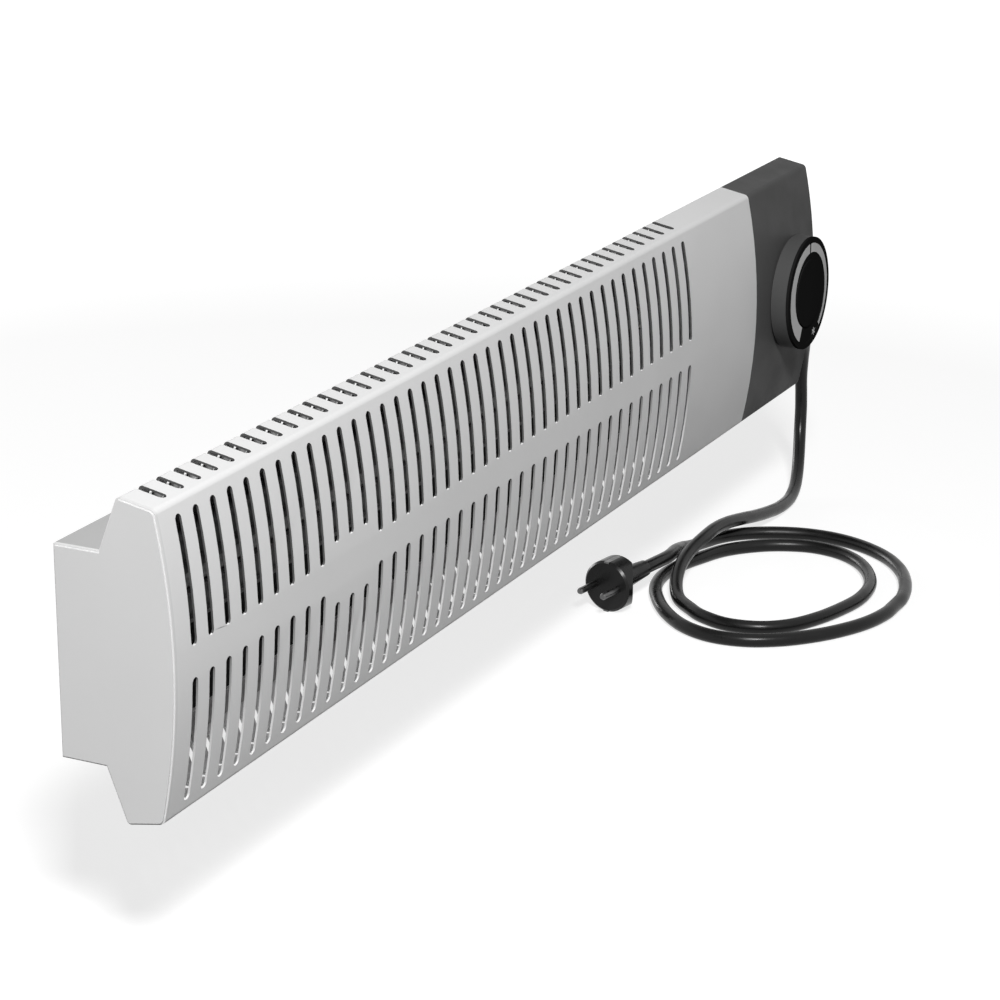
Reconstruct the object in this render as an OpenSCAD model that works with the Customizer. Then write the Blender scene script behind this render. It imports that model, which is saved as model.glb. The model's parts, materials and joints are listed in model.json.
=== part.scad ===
// Frost protection heater: a slotted convector bar for a wall, with a thermostat knob and a mains cord.
// Millimetres. +X runs along the bar to the control end, the front faces -Y and +Z is up.
// The origin lies on the wall, in the middle of the four wall screws.

/* [Body] */
// Length over both ends
heater_l = 900; // [800:10:1200]
// Height over the top and bottom crests
body_h = 177; // [160:1:200]
// Rise from a front edge to its crest
bevel_rise = 4.25; // [3:0.25:8]
// Depth from a front edge back to its crest
bevel_d = 21.8; // [16:0.1:26]
// Depth from the front edges to the back of the casing
body_d = 60.5; // [56:0.5:80]
// How far the curved front bulges out between its edges
front_bulge = 9.3; // [5:0.1:14]
// Height of the box at the back
box_h = 116.5; // [108:0.5:126]
// Depth of the box at the back
box_d = 27; // [24:0.5:30]
// Rounding of the two front edges
edge_r = 4; // [3:0.5:6]
// Rounding of the two crests
crest_r = 2.5; // [2:0.25:4]
// Thickness of the front grille
skin_t = 1.2; // [0.9:0.1:2]
// Thickness of the steel sheet in the casing and its fittings
sheet_t = 1.2; // [0.8:0.1:1.6]
// Distance from the wall to the back of the casing
wall_gap = 6; // [5:0.5:10]
// Clearance around pieces that slide into each other
fit_gap = 0.15; // [0.1:0.05:0.3]

/* [Grille] */
// Distance from one slot to the next
slot_pitch = 16.5; // [14:0.25:20]
// Width of every slot
slot_w = 5.5; // [3:0.25:6]
// Distance from the left end to the first slot
slot_first = 19.8; // [17:0.1:26]
// Shortest plain length between the last slot and the control housing
plain_l = 121; // [100:1:160]
// Height from the top of the upper slots to the bottom of the lower ones
rows_h = 155; // [140:1:158]
// Height of the plain web between the two rows
web_h = 17.2; // [10:0.2:24]
// First slot that is shortened beside the bare badge field, counted from 0
badge_slot = 9; // [2:1:20]
// Number of slots shortened in each row
badge_n = 3; // [1:1:6]
// Height of the bare badge field
badge_h = 34.6; // [28:0.2:44]
// Distance from a front edge to the start of the bevel slots
bevel_slot_in = 5; // [4:0.25:7]
// How far the bevel slots run down behind the crest
slope_slot_d = 6.7; // [5:0.1:8]
// Height of the grille's rear lip below the crest
lip_h = 26.5; // [24:0.5:28]
// Rise of the casing's flange inside the lip
flange_rise = 8.8; // [6:0.1:10]

/* [End cap] */
// Thickness of the left end cap's plate
cap_t = 3; // [2:0.5:5]
// Width of the step around the cap's face
cap_edge = 1; // [0.5:0.25:1.5]
// Depth of the cap's locating rim
cap_rim_l = 8; // [6:0.5:11]
// Thickness of the locating rims of the cap and of the control housing
rim_t = 2; // [1.6:0.1:2.5]

/* [Control housing] */
// Length of the control housing
control_l = 114.5; // [108:0.5:140]
// Wall of the control housing
control_wall = 2.5; // [2:0.1:3]
// Length of the locating rim that goes into the grille and the casing
control_rim_l = 10; // [8:0.5:14]
// Number of air slots in the underside of the control housing
vent_n = 4; // [2:1:4]
// Distance from the left edge of the control housing to its first air slot
vent_in = 20; // [16:0.5:22]

/* [Knob] */
// Distance from the right end to the knob's axis
knob_in = 46.7; // [44:0.1:56]
// Radius of the knob
knob_r = 41.5; // [34:0.5:42]
// Thickness of the knob, without its raised centre
knob_h = 13; // [11:0.5:20]
// Wall of the knob's skirt
knob_wall = 2.2; // [1.6:0.1:3]
// Gap between the knob and the crown of the housing
knob_gap = 0.7; // [0.5:0.1:1.5]
// Thickness of the black face plate
face_t = 1.6; // [1.2:0.1:2.4]
// Height of the raised centre disc and of the face's rim
disc_rise = 1; // [0.6:0.1:1.5]
// Radius of the raised centre disc
disc_r = 25; // [18:0.5:25]
// Outer radius of the light temperature wedge
wedge_r = 37; // [32:0.5:38]
// Width of the wedge at its warm end
wedge_wide = 11; // [8:0.5:11.5]
// Width of the wedge at its cold end
wedge_thin = 3; // [2:0.5:6]
// Angle that the wedge spans, in degrees
wedge_span_deg = 295; // [240:5:310]
// Radius of the thermostat's shaft
shaft_r = 3; // [2.5:0.25:4]
// Radius of the knob's hub
hub_r = 8; // [7:0.5:10]

/* [Heating element] */
// Depth of the element's axis behind the front edges
element_in = 43; // [40:0.5:44]
// Height of the element's axis above the middle of the bar
element_z = 13; // [5:0.5:15]
// Radius of the sheathed heating rod
rod_r = 6; // [4:0.25:6.5]
// Height over both wings of the element's profile
wing_h = 51; // [44:0.5:54]
// Thickness of the wings
wing_t = 2.2; // [1.6:0.1:3]
// Length of the fins behind the wings
fin_l = 10; // [6:0.5:11]
// Number of fins behind each wing
fin_n = 3; // [2:1:4]
// Distance from the left end to the element's left bracket
bracket_in = 44; // [40:0.5:50]
// Distance from the last slot to the partition
part_in = 25; // [20:0.5:32]

/* [Wall brackets] */
// Distance from the partition back to the nearer wall bracket
bracket_part_gap = 38.3; // [30:0.1:60]
// Height between the two screws of a bracket
bracket_hole_h = 60; // [50:1:70]
// Radius of the holes for the wall screws
bracket_hole_r = 2.75; // [2.25:0.25:3.25]
// Width of a wall bracket
bracket_w = 30; // [26:1:40]
// Thickness of a wall bracket's steel
bracket_t = 1.5; // [1.2:0.1:2]

/* [Cord and plug] */
// Radius of the rubber cord
cord_r = 4.75; // [3:0.25:4.75]
// Radius of the plug's face
plug_r = 18.5; // [18:0.25:19]
// Depth of the plug's body
plug_d = 19; // [17:0.5:22]
// Length of the tapered rubber sleeve behind the plug's body
plug_tail_l = 29; // [22:1:40]
// Radius of a plug pin
pin_r = 2.4; // [2:0.1:2.5]
// Length of a plug pin
pin_l = 19; // [18:0.5:20]
// Distance between the two pins
pin_pitch = 19; // [18:0.5:20]

/* [Hidden] */
$fn = 48;

// Overrun of cuts past the faces that they open, and the reach of the half planes
over = 1;
reach = 2 * body_h;
arc_fn = 720;

// Main planes of the body
x_left = -heater_l / 2;
x_right = heater_l / 2;
x_split = x_right - control_l;
y_back = -wall_gap;
y_front = y_back - body_d;
y_crest = y_front + bevel_d;
y_box = y_back - box_d;
z_crest = body_h / 2;
z_edge = z_crest - bevel_rise;
z_box = box_h / 2;
z_lip = z_crest - lip_h;
z_flange = z_box + flange_rise;

// The curved front is one arc through both front edges
front_r = (z_edge * z_edge + front_bulge * front_bulge) / (2 * front_bulge);
front_cy = y_front - front_bulge + front_r;
bevel_a = atan2(bevel_rise, bevel_d);
slope_a = atan2(z_crest - z_box, y_box - y_crest);

// Centre of the rounding between the curved front and the bevel
edge_fall = (front_cy - y_front) * sin(bevel_a) + z_edge * cos(bevel_a) - edge_r;
edge_phi = 180 + bevel_a - asin(edge_fall / (front_r - edge_r));
edge_c = [front_cy + (front_r - edge_r) * cos(edge_phi), (front_r - edge_r) * sin(edge_phi)];

// Centre of the rounding between the bevel and the rear slope
crest_turn = bevel_a + slope_a;
crest_reach = crest_r / cos(crest_turn / 2);
crest_mid_a = (bevel_a - slope_a) / 2 - 90;
crest_c = [y_crest + crest_reach * cos(crest_mid_a), z_crest + crest_reach * sin(crest_mid_a)];

// Slots
slot_n = floor((heater_l - control_l - plain_l - slot_first) / slot_pitch) + 1;
x_part = x_left + slot_first + (slot_n - 1) * slot_pitch + part_in;
grille_screw_share = [0.08, 0.5, 0.94];

// Screws: radius of the shank, radius and height of the head
screw_r = 1.75;
screw_head_r = 3;
screw_head_h = 1.8;
screw_gap = 0.1;
pilot_gap = 0.05;
screw_len = 7;
end_screw_len = 6;
grille_screw_len = 4.5;
screw_tab_w = 9;
screw_tab_rise = 7.5;
boss_w = 11;
boss_l = 9;

// Element and what carries it
y_el = y_front + element_in;
z_el = element_z;
x_bracket = x_left + bracket_in;
rod_gap = 0.05;
clamp_wall = 2.8;
clamp_open_share = 0.92;
wing_lip = 4;
fin_t = 1.4;
profile_end_gap = 5;
bush_wall = 2.2;
bush_flange = 2;
bush_flange_t = 3;
rod_out = 9;
insulator_r = 4.4;
insulator_l = 5;
terminal_r = 2;
terminal_l = 9;
support_h = 40;
support_front = 15;
foot_l = 14;
foot_screw_share = 0.6;
shield_t = 1;
shield_top_gap = 1;
shield_end_gap = 2;
cutout_r = 8.5;
cutout_l = 8;
cutout_top_gap = 2.5;
cutout_in = 6;
cutout_y = y_crest + cutout_in;
cutout_z = z_box - sheet_t - cutout_top_gap - cutout_r;
tab_w = 6.3;
tab_t = 0.8;
tab_l = 7;
grommet_r = 5;
grommet_bore_r = 2;
grommet_flange = 1.6;
grommet_groove = 1.5;
wire_in = 9;
wire_rise = 7;
wire_y = y_back - sheet_t - wire_in;
wire_z = -z_box + sheet_t + wire_rise;

// Thermostat and knob
x_knob = x_right - knob_in;
y_crown = y_front - front_bulge;
y_knob = y_crown - knob_gap;
y_face = y_knob - knob_h;
pad_r = 23;
pad_back = 2;
y_pad = y_front - pad_back;
stat_w = 44;
stat_h = 34;
stat_d = 24;
bush_r = 4.9;
bush_hole_gap = 0.3;
bush_inset = 0.6;
stat_screw_z = 13;
stat_screw_r = 1.6;
stat_head_r = 2.8;
stat_head_h = 2;
stat_sink = 0.9;
stat_screw_in = 5;
shaft_run = 0.05;
shaft_in = 6;
flat_share = 0.6;
shaft_end_gap = 0.6;
knob_front_t = 2;
face_rim_w = 4;
wedge_t = 0.7;
wedge_steps = 40;
wedge_mid_deg = 95.5;
mark_w = 2.2;
frost_deg = -69;
frost_at_r = 33.8;
frost_d = 6;
frost_bar = 1.1;

// Terminal block on the back wall of the casing
block_in = 33;
block_x = x_split - block_in;
block_w = 34;
block_h = 24;
block_d = 15;
pole_pitch = 7;
pole_n = 3;
earth_rise = 8;
earth_drop = 10;
washer_r = 5;
washer_t = 1;
earth_x = block_x;
earth_z = -z_box + sheet_t + earth_rise + washer_r;
block_z = earth_z + earth_drop + block_h / 2;
pole_bore_r = 1.8;
pole_screw_r = 1.7;
pole_screw_in = 8;
pole_screw_sink = 0.5;
barrel_rise = 3;
barrel_w = 5.4;
pole_y = y_back - sheet_t - block_d / 2;
y_barrel = y_back - sheet_t - block_d - barrel_rise;

// Cord entry in the right end wall
cord_in = 9.5;
cord_y = y_front + cord_in;
cord_z = -53;
cord_fit = 0.05;
gland_r = 7.6;
gland_gap = 0.2;
gland_flange_r = 10;
gland_flange_t = 2.5;
gland_nut_r = 9.3;
gland_nose_r = 6;
gland_nose_l = 17.5;
clamp_in = 21;
clamp_x = x_right - clamp_in;
clamp_w = 14;
clamp_span = 24;
clamp_t = 4;
clamp_bite = 0.3;
clamp_screw_y = 8.5;
clamp_screw_in = 6;
tail_in = 10;
tail_end = x_split + tail_in;
x_cord = x_right + gland_flange_t + gland_nose_l;
core_r = 1.4;
core_ring = 2.3;
core_step = 3.5;
core_share = 0.75;
wire_r = 1.4;

// The cord's free route on and above the surface below the heater, from gland to plug
cord_route = [
    [x_cord, cord_y, cord_z], [476, -57, -53], [488, -56, -54.5], [499, -53, -59],
    [508.5, -49.5, -66.5], [516.5, -46, -76], [522.5, -43, -88.5], [526.5, -41, -103],
    [528.5, -41, -124], [522.5, -43, -145],
    [509.5, -47.5, -162], [497, -51.5, -171], [482.5, -55.5, -176.5], [467, -58.5, -179.5],
    [451, -60.5, -180], [429.5, -61.5, -178.5], [407.5, -61, -175.5], [386, -59.5, -172],
    [364.5, -57.5, -168], [342.5, -55.5, -164.5], [321, -54, -163], [299, -53.5, -164],
    [277, -53, -166.5], [255.5, -55, -170], [234.5, -60.5, -175], [215.5, -70.5, -179.5],
    [200.5, -86, -180], [191, -99, -180.2], [184, -120, -180.2], [188, -142, -180.2],
    [201, -159, -180.2], [222, -171, -180.2], [246, -179, -180.2], [272, -184, -180.2],
    [299, -182, -180.2], [323, -173, -180.2], [344, -158, -180.2], [358, -138, -180.2],
    [362, -115, -180.2], [355, -92, -180.2], [342, -74, -180.2], [325, -60, -180.2],
    [303, -51, -180.2], [280, -44, -180.2], [256, -41.5, -180.2], [232, -46, -180.2],
    [208, -58, -180.2], [186, -74, -180.2], [168, -94, -180.2], [159, -117, -180.2],
    [161, -141, -180.2], [172, -162, -180.2], [189, -180, -180.2], [210, -195, -180.2],
    [234, -206, -180.2], [261, -211, -180.2], [289, -210, -180.2], [316, -203, -180.2],
    [341, -191, -180.2], [362, -174, -180.2], [377, -153, -180.2], [386, -129, -180.2],
    [387, -104, -180.2], [380, -80, -180.2], [367, -59, -180.2], [352, -46.5, -180.2],
    [335, -41, -179.5], [315, -38.5, -177], [296, -38.5, -172.5], [279, -40.5, -169],
    [261, -42.5, -167.5]
];
cord_sides = 8;

// Plug, lying on the same surface
floor_z = -185;
plug_x = 181;
plug_y = -30;
plug_heading_deg = 170;
plug_neck_r = 8;
plug_tail_r = 5.8;
plug_edge = 1.5;
plug_rear_edge = 2.5;
plug_flat_from = 4.8;
plug_flat_w = 8.6;
pin_tip = 1.2;
strip_w = 4;
strip_t = 1.2;
strip_in = 16;
pin_sunk = 6;

function slot_x(i) = x_left + slot_first + i * slot_pitch;
function in_badge(i) = i >= badge_slot && i < badge_slot + badge_n;
function slot_low(i) = (in_badge(i) ? badge_h : web_h) / 2;

// Extrusions along X of (Y, Z) outlines and along Y of (X, Z) outlines
module along_x(x0, len) {
    translate([x0, 0, 0]) rotate([90, 0, 90]) linear_extrude(len) children();
}

module along_y(y0, len) {
    translate([0, y0 + len, 0]) rotate([90, 0, 0]) linear_extrude(len) children();
}

module rod_x(x0, len, r) {
    translate([x0, 0, 0]) rotate([0, 90, 0]) cylinder(h = len, r = r);
}

module rod_y(y0, len, r) {
    translate([0, y0, 0]) rotate([-90, 0, 0]) cylinder(h = len, r = r);
}

module both_z() {
    children();
    mirror([0, 0, 1]) children();
}

module both_sides() {
    children();
    mirror([1, 0, 0]) children();
}

module both_halves() {
    children();
    mirror([0, 1]) children();
}

// A screw along +Y whose head's seat is at y = 0
module screw_y(len, r, head_r, head_h) {
    rod_y(0, len, r);
    rod_y(-head_h, head_h, head_r);
}

// Everything below a line through (y, z) at angle a, moved in by inset
module below(y, z, a, inset) {
    translate([y, z]) rotate(a) translate([-reach, -2 * reach - inset]) square(2 * reach);
}

// The sharp corner between two tangent points is cut back to a circle that laps both sides a little
round_lap = 0.02;

module corner_cut(p, corner, q, c, r) {
    difference() {
        polygon([p, corner, q]);
        translate(c) circle(r = r + round_lap);
    }
}

module edge_cut(inset) {
    r = edge_r - inset;
    arc_pt = edge_c + r * [cos(edge_phi), sin(edge_phi)];
    line_pt = edge_c + r * [-sin(bevel_a), cos(bevel_a)];
    corner_cut(arc_pt, [y_front - edge_r, z_edge + edge_r], line_pt, edge_c, r);
}

module crest_cut(inset) {
    r = crest_r - inset;
    front_pt = crest_c + r * [-sin(bevel_a), cos(bevel_a)];
    rear_pt = crest_c + r * [sin(slope_a), cos(slope_a)];
    corner_cut(front_pt, [y_crest + crest_r, z_crest + crest_r], rear_pt, crest_c, r);
}

// Outline of the bar in front of the box: curved front, bevels and rear slopes
module front_outline(inset) {
    difference() {
        intersection() {
            translate([front_cy, 0]) circle(r = front_r - inset, $fn = arc_fn);
            flat_sides(inset);
        }
        both_halves() {
            if (inset < edge_r) edge_cut(inset);
            if (inset < crest_r) crest_cut(inset);
        }
    }
}

// The bevels and slopes of both halves, ended inside the box
module flat_sides(inset) {
    intersection() {
        below(y_front, z_edge, bevel_a, inset);
        below(y_crest, z_crest, -slope_a, inset);
        mirror([0, 1]) below(y_front, z_edge, bevel_a, inset);
        mirror([0, 1]) below(y_crest, z_crest, -slope_a, inset);
        translate([y_box + box_d / 2 - reach, -reach]) square([reach, 2 * reach]);
    }
}

module box_outline(inset) {
    translate([y_crest, -z_box + inset])
        square([y_back - inset - y_crest, 2 * (z_box - inset)]);
}

module full_outline(inset) {
    front_outline(inset);
    box_outline(inset);
}

// Space inside the grille and the casing, with a gap all round
module inner_outline(gap) {
    intersection() {
        front_outline(skin_t + gap);
        translate([y_crest - reach, -reach]) square([reach, 2 * reach]);
    }
    intersection() {
        union() {
            front_outline(skin_t + sheet_t + gap);
            box_outline(sheet_t + gap);
        }
        translate([y_crest - rim_t, -reach]) square([reach, 2 * reach]);
    }
}

module rim_outline() {
    difference() {
        inner_outline(fit_gap);
        inner_outline(fit_gap + rim_t);
    }
}

module slot_span(x, low, high) {
    r = slot_w / 2;
    translate([x - r, low + r]) square([slot_w, high - low - slot_w]);
    translate([x, low + r]) circle(r = r);
    translate([x, high - r]) circle(r = r);
}

module front_slots() {
    along_y(y_crown - over, front_bulge + bevel_d / 2 + over)
        for (i = [0 : slot_n - 1]) both_halves() slot_span(slot_x(i), slot_low(i), rows_h / 2);
}

module bevel_slots(n, x_of_first) {
    translate([0, 0, z_box]) linear_extrude(z_crest - z_box + over)
        for (i = [0 : n - 1])
            slot_span(x_of_first + i * slot_pitch, y_front + bevel_slot_in, y_crest + slope_slot_d);
}

// Three screws along each lip, midway between two slots
function grille_screw_x(k) =
    slot_x(floor(grille_screw_share[k] * (slot_n - 1))) + slot_pitch / 2;
grille_screw_z = (z_lip + z_flange) / 2 + screw_head_r;
grille_screw_y = y_crest + (z_crest - grille_screw_z) / tan(slope_a);

// Frame whose +Z is the outward normal of the upper rear slope at screw k
module at_lip(k) {
    translate([grille_screw_x(k), grille_screw_y, grille_screw_z])
        rotate([-slope_a, 0, 0]) children();
}

module front_grille() {
    color("gainsboro") difference() {
        along_x(x_left + cap_t, x_split - x_left - cap_t) difference() {
            front_outline(0);
            front_outline(skin_t);
            translate([y_crest, -z_lip]) square([reach, 2 * z_lip]);
        }
        front_slots();
        both_z() bevel_slots(slot_n, slot_x(0));
        both_z() for (k = [0 : 2])
            at_lip(k) translate([0, 0, -screw_len])
                cylinder(h = 2 * screw_len, r = screw_r + screw_gap);
    }
}

// Flanges along the slopes and the box, folded from one sheet
module casing_outline() {
    intersection() {
        difference() {
            union() {
                front_outline(skin_t);
                box_outline(0);
            }
            front_outline(skin_t + sheet_t);
            box_outline(sheet_t);
        }
        translate([y_crest, -z_flange]) square([reach, 2 * z_flange]);
    }
}

// Tabs rise from the flanges between the slots to carry the grille screws
module casing_tabs() {
    for (k = [0 : 2])
        along_x(grille_screw_x(k) - screw_tab_w / 2, screw_tab_w) intersection() {
            difference() {
                front_outline(skin_t);
                front_outline(skin_t + sheet_t);
            }
            translate([y_crest, z_flange - sheet_t]) square([reach, screw_tab_rise + sheet_t]);
        }
}

module rear_casing() {
    color("silver") difference() {
        union() {
            along_x(x_left + cap_t, x_split - x_left - cap_t) casing_outline();
            both_z() casing_tabs();
        }
        both_z() for (k = [0 : 2])
            at_lip(k) translate([0, 0, -screw_len])
                cylinder(h = 2 * screw_len, r = screw_r + pilot_gap);
        hook_windows();
        both_z() for (x = end_screw_xs) back_hole(x, end_screw_z, screw_r + screw_gap);
        for (p = foot_screws()) back_hole(p[0], p[1], screw_r + pilot_gap);
        back_hole(earth_x, earth_z, screw_r + pilot_gap);
    }
}

end_screw_z = z_box - sheet_t - boss_w / 2 - rim_t;
end_screw_xs = [x_left + cap_t + cap_rim_l / 2, x_split - control_rim_l / 2];

module back_hole(x, z, r) {
    translate([x, 0, z]) rod_y(y_back - sheet_t - over, sheet_t + 2 * over, r);
}

module grille_screws() {
    color("dimgray") both_z() for (k = [0 : 2]) at_lip(k) {
        cylinder(h = screw_head_h, r = screw_head_r);
        translate([0, 0, -grille_screw_len]) cylinder(h = grille_screw_len, r = screw_r);
    }
}

// Bosses behind the rims take the end screws
module end_boss(x0) {
    both_z() translate([x0, y_back - sheet_t - fit_gap - boss_l, end_screw_z - boss_w / 2])
        cube([boss_w, boss_l, boss_w]);
}

module left_end_cap() {
    color("lightgray") difference() {
        union() {
            along_x(x_left, cap_edge) full_outline(cap_edge);
            along_x(x_left + cap_edge, cap_t - cap_edge) full_outline(0);
            along_x(x_left + cap_edge, cap_t - cap_edge + cap_rim_l) rim_outline();
            end_boss(x_left + cap_edge);
        }
        end_pilots(end_screw_xs[0]);
    }
}

module end_pilots(x) {
    both_z() translate([x, 0, end_screw_z])
        rod_y(y_back - sheet_t - screw_len, screw_len + over, screw_r + pilot_gap);
}

module end_screws() {
    color("dimgray") both_z() for (x = end_screw_xs)
        translate([x, y_back, end_screw_z]) mirror([0, 1, 0])
            screw_y(end_screw_len, screw_r, screw_head_r, screw_head_h);
}

module control_housing() {
    color("#4a4a4a") difference() {
        union() {
            along_x(x_split, control_l - control_wall) difference() {
                full_outline(0);
                full_outline(control_wall);
            }
            along_x(x_right - control_wall, control_wall) full_outline(0);
            along_x(x_split - control_rim_l, control_rim_l + rim_t) rim_outline();
            along_x(x_split, rim_t) difference() {
                full_outline(0);
                inner_outline(fit_gap + rim_t);
            }
            end_boss(x_split - control_rim_l);
            thermostat_pad();
            clamp_pillar();
        }
        end_pilots(end_screw_xs[1]);
        translate([x_knob, 0, 0])
            rod_y(y_crown - over, front_bulge + 2 * over, bush_r + bush_hole_gap);
        both_z() translate([x_knob, 0, stat_screw_z]) {
            rod_y(y_crown - over, front_bulge + 2 * over, stat_screw_r + screw_gap);
            rod_y(y_crown - over, stat_sink + over, stat_head_r + 2 * screw_gap);
        }
        translate([0, cord_y, cord_z])
            rod_x(x_right - control_wall - over, control_wall + 2 * over, gland_r + gland_gap);
        translate([0, cord_y, cord_z])
            rod_x(clamp_x - clamp_w, 2 * clamp_w, cord_r + cord_fit);
        for (s = [-1, 1])
            translate([clamp_x, cord_y + s * clamp_screw_y, cord_z - screw_len])
                cylinder(h = screw_len + over, r = screw_r + pilot_gap);
        mirror([0, 0, 1]) bevel_slots(vent_n, x_split + vent_in);
    }
}

// Flat round pad behind the curved front, where the thermostat seats
module thermostat_pad() {
    intersection() {
        translate([x_knob, 0, 0]) rod_y(y_crown, y_pad - y_crown, pad_r);
        along_x(x_knob - pad_r, 2 * pad_r) front_outline(control_wall / 2);
    }
}

// Pillar from the floor of the housing up to the cord, under its clamp
module clamp_pillar() {
    intersection() {
        translate([clamp_x - clamp_w / 2, cord_y - clamp_span / 2, cord_z - reach])
            cube([clamp_w, clamp_span, reach]);
        along_x(x_split, control_l) full_outline(control_wall / 2);
    }
}

// Partition between the heated space and the terminals
module partition_plate() {
    color("silver") difference() {
        union() {
            along_x(x_part, sheet_t) inner_outline(2 * fit_gap);
            foot(x_part + sheet_t);
        }
        translate([0, y_el, z_el]) rod_x(x_part - over, sheet_t + 2 * over, rod_r + bush_wall);
        translate([0, wire_y, wire_z]) rod_x(x_part - over, sheet_t + 2 * over, grommet_r);
        foot_holes(x_part + sheet_t);
    }
}

// Foot flange of a sheet metal support, on the back wall of the casing
module foot(x0) {
    translate([x0 - sheet_t, y_back - 2 * sheet_t - fit_gap, z_el - support_h / 2])
        cube([foot_l + sheet_t, sheet_t + fit_gap, support_h]);
}

function foot_screw_z() = foot_screw_share * support_h / 2;
function foot_screw_x(x0) = x0 + foot_l / 2;
function foot_screws() = [
    for (x0 = [x_part + sheet_t, x_bracket + sheet_t]) for (s = [-1, 1])
        [foot_screw_x(x0), z_el + s * foot_screw_z()]
];

module foot_holes(x0) {
    for (s = [-1, 1]) translate([foot_screw_x(x0), 0, z_el + s * foot_screw_z()])
        rod_y(y_back - 3 * sheet_t, 3 * sheet_t, screw_r + screw_gap);
}

module foot_screw_pair(x0) {
    for (s = [-1, 1])
        translate([foot_screw_x(x0), y_back - 2 * sheet_t - fit_gap, z_el + s * foot_screw_z()])
            screw_y(grille_screw_len, screw_r, screw_head_r, screw_head_h);
}

module partition_screws() {
    color("dimgray") foot_screw_pair(x_part + sheet_t);
}

module bracket_screws() {
    color("dimgray") foot_screw_pair(x_bracket + sheet_t);
}

module element_bracket() {
    color("silver") difference() {
        union() {
            translate([x_bracket, y_el - support_front, z_el - support_h / 2])
                cube([sheet_t, y_back - sheet_t - y_el + support_front, support_h]);
            foot(x_bracket + sheet_t);
        }
        translate([0, y_el, z_el]) rod_x(x_bracket - over, sheet_t + 2 * over, rod_r + bush_wall);
        foot_holes(x_bracket + sheet_t);
    }
}

module wire_grommet() {
    color("black") translate([0, wire_y, wire_z]) difference() {
        union() {
            rod_x(x_part - grommet_groove, 2 * grommet_groove + sheet_t, grommet_r - fit_gap);
            rod_x(x_part - grommet_groove, grommet_groove, grommet_r + grommet_flange);
            rod_x(x_part + sheet_t, grommet_groove, grommet_r + grommet_flange);
        }
        rod_x(x_part - grommet_groove - over, 2 * grommet_groove + sheet_t + 2 * over, grommet_bore_r);
    }
}

// A ceramic bush: a sleeve through the plate and a flange on one side of it
module rod_bush(x_plate, side) {
    translate([0, y_el, z_el]) difference() {
        union() {
            rod_x(x_plate - bush_flange, sheet_t + 2 * bush_flange, rod_r + bush_wall - fit_gap / 2);
            translate([side > 0 ? x_plate + sheet_t : x_plate - bush_flange_t, 0, 0])
                rod_x(0, bush_flange_t, rod_r + bush_wall + bush_flange);
        }
        rod_x(x_plate - bush_flange_t - over, sheet_t + 2 * (bush_flange_t + over), rod_r + rod_gap);
    }
}

module rod_bushes() {
    color("ivory") {
        rod_bush(x_bracket, -1);
        rod_bush(x_part, 1);
    }
}

x_rod_left = x_bracket - rod_out;
x_rod_right = x_part + sheet_t + rod_out;

module heating_rod() {
    color("gray") translate([0, y_el, z_el]) rod_x(x_rod_left, x_rod_right - x_rod_left, rod_r);
}

module rod_insulators() {
    color("white") translate([0, y_el, z_el]) for (x = [x_rod_left - insulator_l, x_rod_right])
        difference() {
            rod_x(x, insulator_l, insulator_r);
            rod_x(x - over, insulator_l + 2 * over, terminal_r + rod_gap);
        }
}

module rod_terminals() {
    color("silver") translate([0, y_el, z_el]) {
        rod_x(x_rod_left - terminal_l, terminal_l, terminal_r);
        rod_x(x_rod_right, terminal_l, terminal_r);
    }
}

// Extruded black profile that clasps the rod: two wings, lips and rows of rear fins
module element_profile() {
    clamp_r = rod_r + clamp_wall;
    open_h = 2 * rod_r * clamp_open_share;
    fin_step = (wing_h / 2 - clamp_r - fin_t) / fin_n;
    color("#1c1c1c") translate([0, y_el, z_el])
        along_x(x_bracket + sheet_t + profile_end_gap, x_part - x_bracket - sheet_t - 2 * profile_end_gap)
            difference() {
                union() {
                    circle(r = clamp_r);
                    translate([-wing_t / 2, -wing_h / 2]) square([wing_t, wing_h]);
                    both_halves() {
                        translate([-wing_lip, wing_h / 2 - wing_t]) square([wing_lip, wing_t]);
                        for (k = [1 : fin_n])
                            translate([0, clamp_r + k * fin_step - fin_t / 2]) square([fin_l, fin_t]);
                    }
                }
                circle(r = rod_r + rod_gap);
                translate([-clamp_r - over, -open_h / 2]) square([clamp_r + over, open_h]);
            }
}

// Black lining of the box's back wall and floor, below the element
module heat_shield() {
    y_in = y_back - sheet_t;
    z_in = -z_box + sheet_t;
    z_top = z_el - support_h / 2 - shield_top_gap;
    x0 = x_bracket;
    color("#262626") along_x(x0, x_part - shield_end_gap - x0) {
        translate([y_in - shield_t, z_in]) square([shield_t, z_top - z_in]);
        translate([y_box, z_in]) square([y_in - y_box, shield_t]);
    }
}

module thermal_cutout() {
    color("saddlebrown") translate([x_part + sheet_t, cutout_y, cutout_z]) {
        rod_x(0, cutout_l, cutout_r);
        for (s = [-1, 1]) translate([cutout_l - tab_t, s * cutout_r / 2 - tab_t / 2, -tab_w / 2])
            cube([tab_l + tab_t, tab_t, tab_w]);
    }
}

module thermostat_body() {
    color("#2b2b2b") translate([x_knob, 0, 0]) difference() {
        union() {
            translate([-stat_w / 2, y_pad, -stat_h / 2]) cube([stat_w, stat_d, stat_h]);
            rod_y(y_crown + bush_inset, y_pad - y_crown, bush_r);
            for (s = [-1, 1]) translate([s * stat_w / 4 - tab_t / 2, y_pad + stat_d - tab_t, -tab_w / 2])
                cube([tab_t, tab_l + tab_t, tab_w]);
        }
        rod_y(y_crown - over, y_pad - y_crown + over + shaft_in, shaft_r + shaft_run);
        both_z() translate([0, 0, stat_screw_z])
            rod_y(y_pad - over, screw_len, stat_screw_r + pilot_gap);
    }
}

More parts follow.
